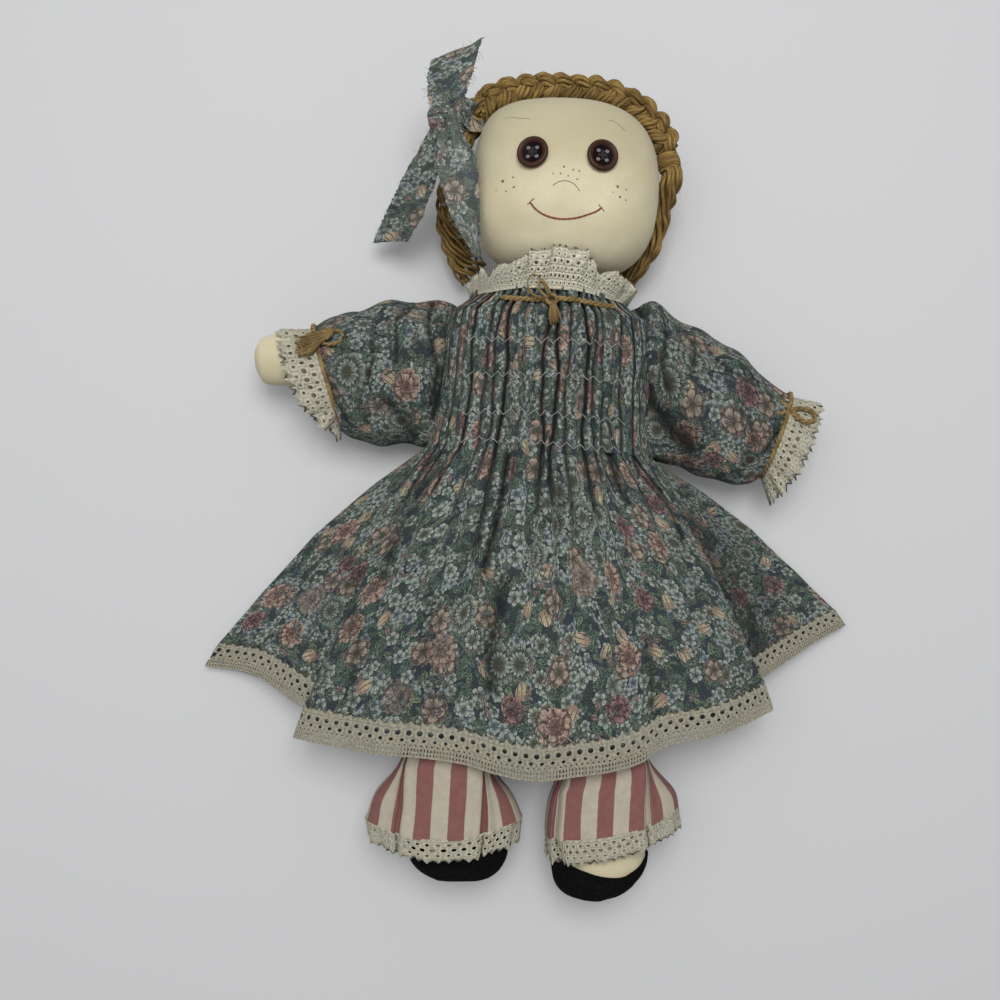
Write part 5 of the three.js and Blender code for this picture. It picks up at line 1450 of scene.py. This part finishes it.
def make_drawstring(mats):
    b = Bundle()
    x = np.linspace(-19, 25, 60)
    line = bodice_front(share_of(x, 22.4, 0.98, 1), DRAWSTRING_Y + 0.5 * np.sin(x / 5))[0]
    line[:, 0] = x
    line[:, 2] = smooth(line[:, 2], 6) + 0.9
    yarns(b, line, 2, 0.62, 0.55, 4.2, 91, sides=6)
    a = np.linspace(0, 5 * math.pi, 40)
    b.tube(NECK_BOW + stack(2.0 * np.cos(a), 1.7 * np.sin(a), 0.5 * np.sin(2 * a)), 0.75, 6)
    for loop, radius, count in NECK_LOOPS:
        b.tube(curve_through(NECK_BOW + loop, count), radius, 6)
    tassel(b, NECK_BOW + (0.3, -0.5, 0.6), (0.25, -1, -0.1), 8.5, 2.6, 70, 92)
    wear(b.piece("neck_tie_twine", mats["twine_light"]), "neck_drawstring", "torso")


# Arms

# Upper and lower outline of each sleeve with half its height, how far its lace reaches out above, below and between,
# and the hand's middle line.
ARMS = {
    "right": dict(
        sign=-1,
        upper=[(-34, 22.5), (-44, 25.2), (-52, 25.0), (-61, 23.0), (-70.8, 20.4), (-80, 18.0), (-88, 14.8),
               (-95.5, 9.6)],
        lower=[(-34, -30.0), (-45, -33.8), (-52, -34.6), (-60, -34.8), (-69, -34.6), (-76.5, -33.4), (-80.0, -30.0),
               (-80.5, -25.0)],
        height=[13.5, 15.8, 16.8, 17.2, 17.2, 16.0, 13.4, 10.8],
        reach=(-12, -5, 0.0), reach_low=(-1.0, -5.0, 0.0), reach_mid=(-14.5, -3.0, 0.0),
        hand=[(-40, 6.0), (-70, 2.5), (-95, -1.2), (-117.2, -4.0)]),
    "left": dict(
        sign=1,
        upper=[(34, 26.0), (43.0, 29.6), (50.5, 25.0), (57, 19.0), (66, 16.0), (76, 12.5), (86, 4.0), (94, -2.5),
               (101.0, -6.5)],
        lower=[(34, -30.0), (43, -34.0), (50, -35.5), (57, -38.0), (64, -39.8), (72, -41.2), (80, -42.0),
               (86.5, -41.0), (90.0, -36.5)],
        height=[13.5, 15.8, 16.8, 17.2, 17.2, 17.0, 15.5, 13.0, 10.8],
        reach=(11.0, -5.6, 0.0), reach_low=(5.0, -9.5, 0.0), reach_mid=(11.0, -6.0, 0.0),
        hand=[(40, 6.0), (65, -4.0), (90, -13.2), (108.0, -19.6)]),
}

# Bows and tassels of the cuffs, from the middle of the wrist's top.
CUFF_BOWS = {
    "right": (((-2.5, 11.0, -0.6), (0.92, 0.38, 0), 8.5, 0.8, 7),
              ((-3.0, 12.0, -0.2), (0.85, 0.52, 0.1), 6.5, 0.8, 17)),
    "left": (((3.5, 9.0, -2.5), (0.9, -0.25, 0.2), 10.0, 0.9, 9),),
}
CUFF_TASSELS = {
    "right": (((3.5, 14.5, 1.6), (-1, -0.42, -0.06), 15.0, 3.4, 130, 96),
              ((-1.0, 11.0, 1.4), (-1, -0.75, -0.10), 9.0, 2.6, 50, 97)),
    "left": (((5.0, 8.0, -2.0), (1, 0.0, -0.3), 7.5, 2.4, 46, 98),),
}

# The hand's half width by its share of the way from the shoulder.
HAND_KEYS = (0, 0.08, 0.3, 0.6, 0.72, 0.84, 0.92, 0.965, 0.99, 1.0)
HAND_SIZES = (3, 8.5, 9.6, 9.4, 9.6, 10.6, 10.3, 9.4, 6.6, 0.6)

# Creases of the sleeves, as those of the skirt.
SLEEVE_CREASES = {
    "right": (
        ([(468, 288), (450.4, 312), (446, 328), (448.5, 350), (444.7, 370), (437, 392), (433, 416)], 34, 4.5, 1.8, 1.0),
        ([(431, 298), (428.4, 320), (433, 350), (437, 373), (429.4, 404)], 33, 2.6, 1.3, 0.9),
        ([(412, 300.6), (406.4, 310), (396, 316), (396, 329), (397, 362)], 34, 1.8, 0.9, 0.8),
        ([(374, 325), (373, 343), (372, 362), (367, 383)], 34, 1.9, 1.0, 0.8),
        ([(387, 404), (402.6, 417), (412, 434)], 28, 2.6, 3.6, 0.75),
        ([(306, 352), (320, 372), (335, 398), (350, 424)], 26, 2.0, 1.6, 0.7),
        ([(330, 345), (350, 352), (366, 350)], 34, 1.2, 1.4, 0.4),
    ),
    "left": (
        ([(640, 292), (646, 320), (643, 352), (648, 385), (640, 420), (636, 445)], 34, 4.5, 1.8, 1.0),
        ([(662, 300), (668, 330), (663, 365), (670, 395)], 33, 2.4, 1.3, 0.85),
        ([(640, 385), (652, 405), (668, 428), (690, 450)], 26, 4.0, 5.5, 1.0),
        ([(690, 330), (696, 352), (690, 378)], 34, 1.6, 1.2, 0.7),
        ([(712, 352), (735, 372), (762, 384)], 34, 1.8, 1.8, 0.6),
        ([(740, 410), (752, 432), (748, 456)], 30, 1.8, 2.0, 0.6),
        ([(778, 430), (765, 450), (742, 466)], 26, 2.0, 1.8, 0.7),
    ),
}


# Painted shade over the whole of each sleeve, and the sleeves' place in the print.
SLEEVE_SHADE, SLEEVE_U = 0.16, 200
# Folds of a sleeve at the shoulder and at the wrist: how many, how far they reach, from where, and how deep.
SLEEVE_FOLDS = ((15, 0.26, 0.10, 1.5), (17, 0.30, 1.0, 1.7))


def sleeve_point(arm, q, angle, plain=False):
    """q goes from the shoulder to the wrist; angle goes round, from the sleeve's upper outline over its top."""
    upper, lower = ARMS[arm]["curves"]
    at = lambda c, k: np.interp(q, np.linspace(0, 1, len(c)), c[:, k])
    half = np.interp(q, np.linspace(0, 1, len(ARMS[arm]["height"])), ARMS[arm]["height"])
    c, s = np.cos(angle), np.sin(angle)
    share = (1 - np.sign(c) * np.abs(c) ** 0.92) / 2
    x = lerp(at(upper, 0), at(lower, 0), share)
    y = lerp(at(upper, 1), at(lower, 1), share)
    z = MID + half * (np.sign(s) * np.abs(s) ** 0.8)
    if plain:
        return stack(x, y, z)
    seed = 100 + (arm == "left") * 7
    r = np.random.default_rng(seed)
    fold = 0
    for count, reach, place, deep in SLEEVE_FOLDS:
        for _ in range(count):
            where, depth = r.uniform(0, TAU), deep * r.uniform(0.4, 1.2)
            swing, long = r.uniform(-0.5, 0.5), r.uniform(0.5, 1.1)
            d = np.abs(q - place) / reach
            off = np.angle(np.exp(1j * (angle - where - swing * d)))
            fold = fold - depth * np.exp(-(off / (0.055 + 0.10 * d)) ** 2) * np.exp(-(d / long) ** 2)
    fold = fold + 0.9 * ripple(q * 62, angle * 15, 20, seed) * np.sin(math.pi * np.clip(q, 0, 1))
    fold = fold + 0.77 * np.sin(q * 17 + 2.2 * np.sin(angle * 1.5 + seed)) * np.exp(-((q - 0.45) / 0.3) ** 2)
    out = stack(x - (at(upper, 0) + at(lower, 0)) / 2, y - (at(upper, 1) + at(lower, 1)) / 2, z - MID)
    out = out / (np.linalg.norm(out, axis=-1, keepdims=True) + 1e-9)
    p = stack(x, y, z) + out * fold[..., None]
    p[..., 2] = np.maximum(p[..., 2], 0.5 + 0.15 * ripple(x, y, 10, seed + 1))
    return p


def make_arms(mats):
    for arm, spec in ARMS.items():
        spec["curves"] = [curve_through([(*p, 0) for p in spec[key]], 60)[:, :2] for key in ("upper", "lower")]
        sign = spec["sign"]
        angle = around(200)[None]
        seam = seamed(sleeve_point(arm, *np.broadcast_arrays(np.linspace(0, 1, 110)[:, None], angle)))
        shade = np.full(seam.shape[:2], SLEEVE_SHADE)
        for crease in SLEEVE_CREASES[arm]:
            press_in(seam, shade, *crease, above=MID)
        girth = arc(seam, 1)[30:70, -1].mean()
        u = SLEEVE_U + np.append(angle, TAU)[None] / TAU * girth * 1.15
        uv = stack(u, arc(seam).mean(1, keepdims=True) + 40 * sign)
        obj = grid(f"sleeve_cloth_{arm}", seam, uv, mats["print"], flip=sign > 0)
        darken(obj, shade)
        declare(obj, "gathered", [f"arm_cloth_{arm}"], *cut_size(seam))
        wear(obj, f"sleeve_{arm}")
        x, y, z = frame_pos(f"arm_{arm}_lift")
        x - sign * 0.004
        x + sign * 0.022
        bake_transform(obj)
        make_hand(arm, spec, mats)
        make_cuff(arm, spec, mats)


def frame_pos(joint):
    """Where a joint of the frame is, in metres."""
    for j in frame["record"]["behaviour"]["joints"]:
        if j["name"] == joint:
            return j["pos_m"]
    raise SystemExit("no joint " + joint)


def make_hand(arm, spec, mats):
    path = curve_through([(x, y, MID) for x, y in spec["hand"]], 80)
    s = arc(path)
    size = smooth(np.interp(s / s[-1], HAND_KEYS, HAND_SIZES), 2)
    size[-1] = 0.4
    ring = rings(path, size, 60, 0.93)
    ring = ring + 0.25 * ripple(ring[..., 0], ring[..., 1], 11, 33)[..., None] * (ring - path[:, None]) / 9
    obj = grid(f"hand_{arm}", ring, ring[..., :2], mats["muslin"], wrap=True, close=(0, -1))
    wear(obj, f"arm_cloth_{arm}", f"arm_{arm}")


def make_cuff(arm, spec, mats):
    flat, faces, share, up = lace_round(CUFF_LONG, CUFF_LACE)
    angle = TAU * share
    base = sleeve_point(arm, np.full(len(flat), 0.985), angle, plain=True)
    centre = base.mean(0)
    wave = np.sin(TAU * 13 * share + 1.2 * np.sin(2 * angle)) + 0.4 * np.sin(TAU * 22 * share + 1)
    grow = 1 + 0.14 * up + 0.075 * wave * up
    high, low, between = (np.array(spec[key]) for key in ("reach", "reach_low", "reach_mid"))
    reach = lerp(lerp(high, low, ((1 - np.cos(angle)) / 2)[:, None]), between, (np.abs(np.sin(angle)) ** 1.5)[:, None])
    place = centre + (base - centre) * grow[:, None] + reach * up[:, None]
    place[:, 2] += 0.5 * wave * up
    lace_piece(f"cuff_ruffle_{arm}", place, faces, flat, mats["lace_pale"], f"sleeve_cloth_{arm}", f"cuff_lace_{arm}",
               f"arm_{arm}")
    b = Bundle()
    a = np.linspace(0, TAU, 120)
    ring = sleeve_point(arm, np.full(120, 0.97), a, plain=True)
    mid = ring.mean(0)
    ring = mid + (ring - mid) * (1.03 + 0.012 * np.sin(9 * a))[:, None]
    ring[:, 2] = np.maximum(ring[:, 2], 1.4)
    yarns(b, ring, 2, 0.55, 0.5, 4.0, 95, sides=6)
    top = mid + np.array((0, 0, 12.2))
    for offset, *rest in CUFF_BOWS[arm]:
        bow(b, top + offset, *rest)
    for offset, *rest in CUFF_TASSELS[arm]:
        tassel(b, top + offset, *rest)
    wear(b.piece(f"cuff_twine_{arm}", mats["twine_light"]), f"cuff_cord_{arm}", f"arm_{arm}")


# Bloomers, legs and shoes

# Bloomers: outlines down each side, half heights, how far the lace reaches at both sides and the cloth between them,
# the flat front's sides and one stripe's place. Feet: the leg's middle line with half widths, the shoe's middle and
# half width, and its opening and sole along the width.
LEGS = {
    "right": dict(
        inner=[(-1, -84), (-4, -110), (-9, -140), (-11.5, -159), (-3.5, -169), (1.5, -178)],
        outer=[(-36, -84), (-41, -110), (-46.5, -140), (-48, -158.5), (-56.5, -172), (-60.0, -182)],
        height=[14, 15, 15, 13.4, 15.5, 16.0], drop=((2.0, -7.5), (-1.0, -9.0), -5.5),
        panel=(-45.5, -14.0), stripe=-30.0,
        leg=[(-19, -70, 13), (-21.5, -110, 13.4), (-24.5, -150, 14.5), (-26.5, -200, 16.6)],
        shoe=(-23.2, 19.6), opening=[-188, -188, -188, -188, -187],
        sole=[-200.5, -202.0, -203.3, -203.0, -202.8, -202.5, -200.5]),
    "left": dict(
        inner=[(3, -84), (6, -110), (11.5, -140), (14.5, -160), (11.0, -172), (10.8, -184)],
        outer=[(40, -84), (45, -110), (48.5, -140), (50.0, -152.5), (60.0, -163), (62.0, -170)],
        height=[14, 15, 15, 13.4, 15.5, 16.0], drop=((1.5, -9.5), (1.0, -7.5), -3.0),
        panel=(15.5, 47.5), stripe=26.2,
        leg=[(21, -70, 13), (25, -110, 13.4), (31, -150, 14.5), (34.3, -202.5, 17.4)],
        shoe=(32.6, 18.8), opening=[-191.5, -194.0, -196.0, -195.3, -188.5],
        sole=[-206.5, -207.0, -207.2, -206.8, -205.0, -202.0, -196.5]),
}


GATHER = 0.64  # share of the way down the bloomers at which the thread gathers them
STRIPES = 13  # from one stripe to the next of its colour


def leg_point(name, q, angle, folds=True):
    """q goes from the hip to the lace; angle goes round the leg, from the doll's left over its top."""
    spec = LEGS[name]
    curves = spec["curves"]
    at = lambda key, k: np.interp(q, np.linspace(0, 1, 80), curves[key][:, k])
    half = np.interp(q, np.linspace(0, 1, 6), spec["height"])
    c, s = np.cos(angle), np.sin(angle)
    share = (1 + np.sign(c) * np.abs(c) ** 0.95) / 2
    left, right = at("left", 0), at("right", 0)
    ends = curves["left"][-1, 0], curves["right"][-1, 0]
    wide = lerp(*ends, share)
    fold = spec["panel"]
    place = np.maximum(fold[0], left + 2.5), np.minimum(fold[1], right - 2.5)
    x = np.where(wide < fold[0], lerp(left, place[0], (wide - ends[0]) / (fold[0] - ends[0])),
                 np.where(wide > fold[1], lerp(place[1], right, (wide - fold[1]) / (ends[1] - fold[1])),
                          lerp(place[0], place[1], (wide - fold[0]) / (fold[1] - fold[0]))))
    share = (x - left) / (right - left)
    drop = np.clip((q - 0.62) / 0.38, 0, 1)
    y = lerp(at("left", 1), at("right", 1), share) + np.sin(math.pi * share) * spec["drop"][2] * drop
    z = MID + half * np.sign(s) * np.abs(s) ** lerp(0.85, 0.45, drop * (s > 0))
    for edge, turn in ((fold[0], -1), (fold[1], 1)):
        off = (wide - edge) * turn
        z = z - (s > 0) * ease((q - 0.58) / 0.08) * (3.6 * np.exp(-((off - 0.9) / 1.0) ** 2) + 2.6 * ease(off / 6.0))
    p = stack(x, y, z)
    if folds:
        r = np.random.default_rng(31 if name == "left" else 32)
        bump = 0.45 * ripple(x, y, 17, 37) * ease(q * 2)
        d = np.abs(q - GATHER)
        for _ in range(26):
            where, deep = r.uniform(0, TAU), r.uniform(0.6, 2.0)
            off = np.angle(np.exp(1j * (angle - where - r.uniform(-0.3, 0.3) * (q - 0.62))))
            bump = bump - deep * np.exp(-(off / (0.06 + 0.30 * d)) ** 2) * np.exp(-(d / r.uniform(0.05, 0.20)) ** 2)
        out = stack(x - (left + right) / 2, 0, z - MID)
        p = p + out / (np.linalg.norm(out, axis=-1, keepdims=True) + 1e-9) * bump[..., None]
    p[..., 2] = np.maximum(p[..., 2], 0.6)
    return p


def make_legs(mats):
    for name, spec in LEGS.items():
        sides = ("outer", "inner") if name == "right" else ("inner", "outer")
        spec["curves"] = {key: curve_through([(*p, 0) for p in spec[side]], 80)[:, :2]
                          for key, side in zip(("left", "right"), sides)}
        angle = around(240)[None]
        seam = seamed(leg_point(name, *np.broadcast_arrays(np.linspace(0, 1, 140)[:, None], angle)))
        ring = leg_point(name, np.ones((1, 240)), angle, folds=False)[0]
        girth = arc(np.vstack([ring, ring[:1]]))
        shift = STRIPES / 4 - girth[np.argmin(np.abs(ring[:120, 0] - spec["stripe"]))]
        u = (girth + shift) * (round(girth[-1] / STRIPES) * STRIPES / girth[-1])
        uv = stack(u[None], arc(seam).mean(1, keepdims=True))
        obj = grid(f"bloomers_cloth_{name}", seam, uv, mats["stripes"], flip=True)
        declare(obj, "gathered", [f"leg_cloth_{name}"], *cut_size(seam))
        wear(obj, f"bloomers_leg_{name}", f"leg_{name}")
        make_edging(name, spec, mats)
        make_foot(name, spec, mats)
    make_seat(mats)


def make_edging(name, spec, mats):
    """The lace and the gathering thread of one leg of the bloomers."""
    flat, faces, share, up = lace_round(BLOOMERS_LONG, CUFF_LACE)
    base = leg_point(name, np.full(len(flat), 0.995), TAU * share, folds=False)
    centre = base.mean(0)
    side = (base[:, :1] - centre[0]) / 30
    wave = np.sin(TAU * 12 * share) + 0.5 * np.sin(TAU * 21 * share + 2)
    go = lerp(np.array(spec["drop"][0]), np.array(spec["drop"][1]), np.clip((side + 1) / 2, 0, 1))
    place = base + np.hstack([go, 0 * side]) * up[:, None] + (base - centre) / 26 * (0.8 * wave * up)[:, None]
    lace_piece(f"bloomers_edging_{name}", place, faces, flat, mats["lace_pale"], f"bloomers_cloth_{name}",
               f"bloomers_lace_{name}", f"leg_{name}")
    a = np.linspace(0, TAU, 241)
    x = leg_point(name, np.full(241, 0.63), a)[:, 0]
    line = leg_point(name, GATHER + 0.026 * (2 * np.abs(((x / 9.0) % 1) * 2 - 1) - 1), a)
    out = (line - line.mean(0)) * (1, 0, 1)
    b = Bundle()
    b.tube(line + out / np.linalg.norm(out, axis=1, keepdims=True) * 0.25, 0.15, 5, caps=False)
    wear(b.piece(f"gather_stitches_{name}", mats["thread"]), f"gather_thread_{name}", f"leg_{name}")


# How much of its width the leg has, by its share of the way down.
LEG_KEYS, LEG_SIZES = (0, 0.05, 0.1, 0.93, 0.965, 0.985, 1), (0.3, 0.8, 1, 1, 0.93, 0.78, 0.4)


def make_foot(name, spec, mats):
    path = curve_through([(x, y, MID) for x, y, _ in spec["leg"]], 90)
    s = arc(path)
    wide = curve_through([(0, y, w) for _, y, w in spec["leg"]], 90)[:, 2]
    ring = rings(path, np.interp(s / s[-1], LEG_KEYS, LEG_SIZES), 64, 12.5, wide[:, None, None])
    obj = grid(f"leg_cloth_skin_{name}", ring, ring[..., :2], mats["muslin"], wrap=True, close=(0, -1))
    wear(obj, f"leg_cloth_{name}", f"leg_{name}")
    middle, half = spec["shoe"]
    t = np.linspace(0, 1, 48)[:, None]
    a = around(110)[None]
    fall = np.clip(1 - (t * 0.998) ** 4, 0, 1) ** 0.25
    across = fall * np.cos(a)
    opening = np.polyval(np.polyfit(np.linspace(-1, 1, 5), spec["opening"], 4), np.cos(a))
    opening = lerp(opening, spec["opening"][0] + 3.0, ease(-np.sin(a) * 2))
    sole = np.interp(across, np.linspace(-1, 1, 7), spec["sole"])
    z = MID + 12.9 * fall * np.sin(a) * np.maximum(np.abs(np.sin(a)), 1e-6) ** -0.15
    points = stack(middle + half * across * (1 - 0.02 * t), lerp(opening, sole, t), z)
    points = points + 0.25 * ripple(points[..., 0], points[..., 1] + points[..., 2], 8, 41)[..., None] * (1, 0, 1)
    obj = grid(f"shoe_cloth_{name}", points, points[..., :2], mats["felt"], wrap=True, close=(-1,))
    thicken(obj, 0.9, -1)
    wear(obj, f"shoe_{name}", f"leg_{name}")


SEAT_TOP, SEAT_LOW = -42, -88


def make_seat(mats):
    y = np.linspace(SEAT_TOP, SEAT_LOW, 40)[:, None]
    a = around(140)[None]
    t = (SEAT_TOP - y) / (SEAT_TOP - SEAT_LOW)
    c, s = np.cos(a), np.sin(a)
    half = lerp(39.5, 40.5, t) + 0.5 * np.sin(22 * a) * np.exp(-t * 6)
    x = 1 + np.sign(c) * np.abs(c) ** 0.8 * half
    z = MID + np.sign(s) * np.abs(s) ** 0.8 * lerp(16.5, 14.8, t) + 0.4 * ripple(x, y, 14, 55)
    seam = seamed(stack(x, y, z))
    obj = grid("bloomers_seat_cloth", seam, stack(np.append(a, TAU)[None] * 31.0, -y), mats["stripes"], flip=True)
    declare(obj, "gathered", ["torso_front_panel"], *cut_size(seam))
    wear(obj, "bloomers_seat")
    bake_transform(obj)


def dress_inner(mats):
    """Materials for the CAD solids that stay, inside the cloth."""
    for node in frame["nodes"]:
        obj = bpy.data.objects.get(node)
        if obj is None or obj.type != "MESH":
            continue
        obj.data.materials.clear()
        obj.data.materials.append(mats["stuffing" if "stuffing" in node else "muslin"])


def make_mats():
    return {
        "print": print_material(),
        "print_worn": print_material("floral_print_ribbon", 0.04),
        "print_pale": print_material("floral_print_wrong_side", 0.10),
        "muslin": muslin_material(),
        "stripes": stripe_material(),
        "lace": lace_material("cotton_lace", (0.40, 0.375, 0.285)),
        "lace_pale": lace_material("cotton_lace_pale", (0.56, 0.53, 0.41)),
        "lace_collar": lace_material("cotton_lace_collar", (0.72, 0.69, 0.54)),
        "twine": twine_material("jute_twine", (0.050, 0.022, 0.004), (0.50, 0.325, 0.100), 1.1),
        "twine_light": twine_material("jute_tie", (0.16, 0.085, 0.022), (0.48, 0.35, 0.155), 1.4),
        "felt": felt_material(),
        "thread": thread_material("white_thread", (0.34, 0.35, 0.33), (0.58, 0.59, 0.56)),
        "pale_thread": thread_material("frayed_thread", (0.20, 0.23, 0.22), (0.45, 0.47, 0.45)),
        "red_thread": thread_material("mouth_thread", (0.12, 0.022, 0.016), (0.27, 0.062, 0.042)),
        "dark_thread": thread_material("eye_thread", (0.004, 0.002, 0.002), (0.014, 0.006, 0.005)),
        "pen": thread_material("brown_pen", (0.11, 0.070, 0.040), (0.19, 0.125, 0.07)),
        "button": button_material(),
        "dish": dish_shade_material(),
        # Painted highlights of the buttons.
        "glint": thread_material("button_shine", (0.085, 0.080, 0.095), (0.160, 0.150, 0.170)),
        "stuffing": stuffing_material(),
    }


make_camera()
make_stage()
cloths = make_mats()
for make in (dress_inner, make_head, make_eyes, make_braid, make_tails, make_ribbon, make_bodice, make_collar,
             make_drawstring, make_arms, make_skirt, make_legs):
    make(cloths)
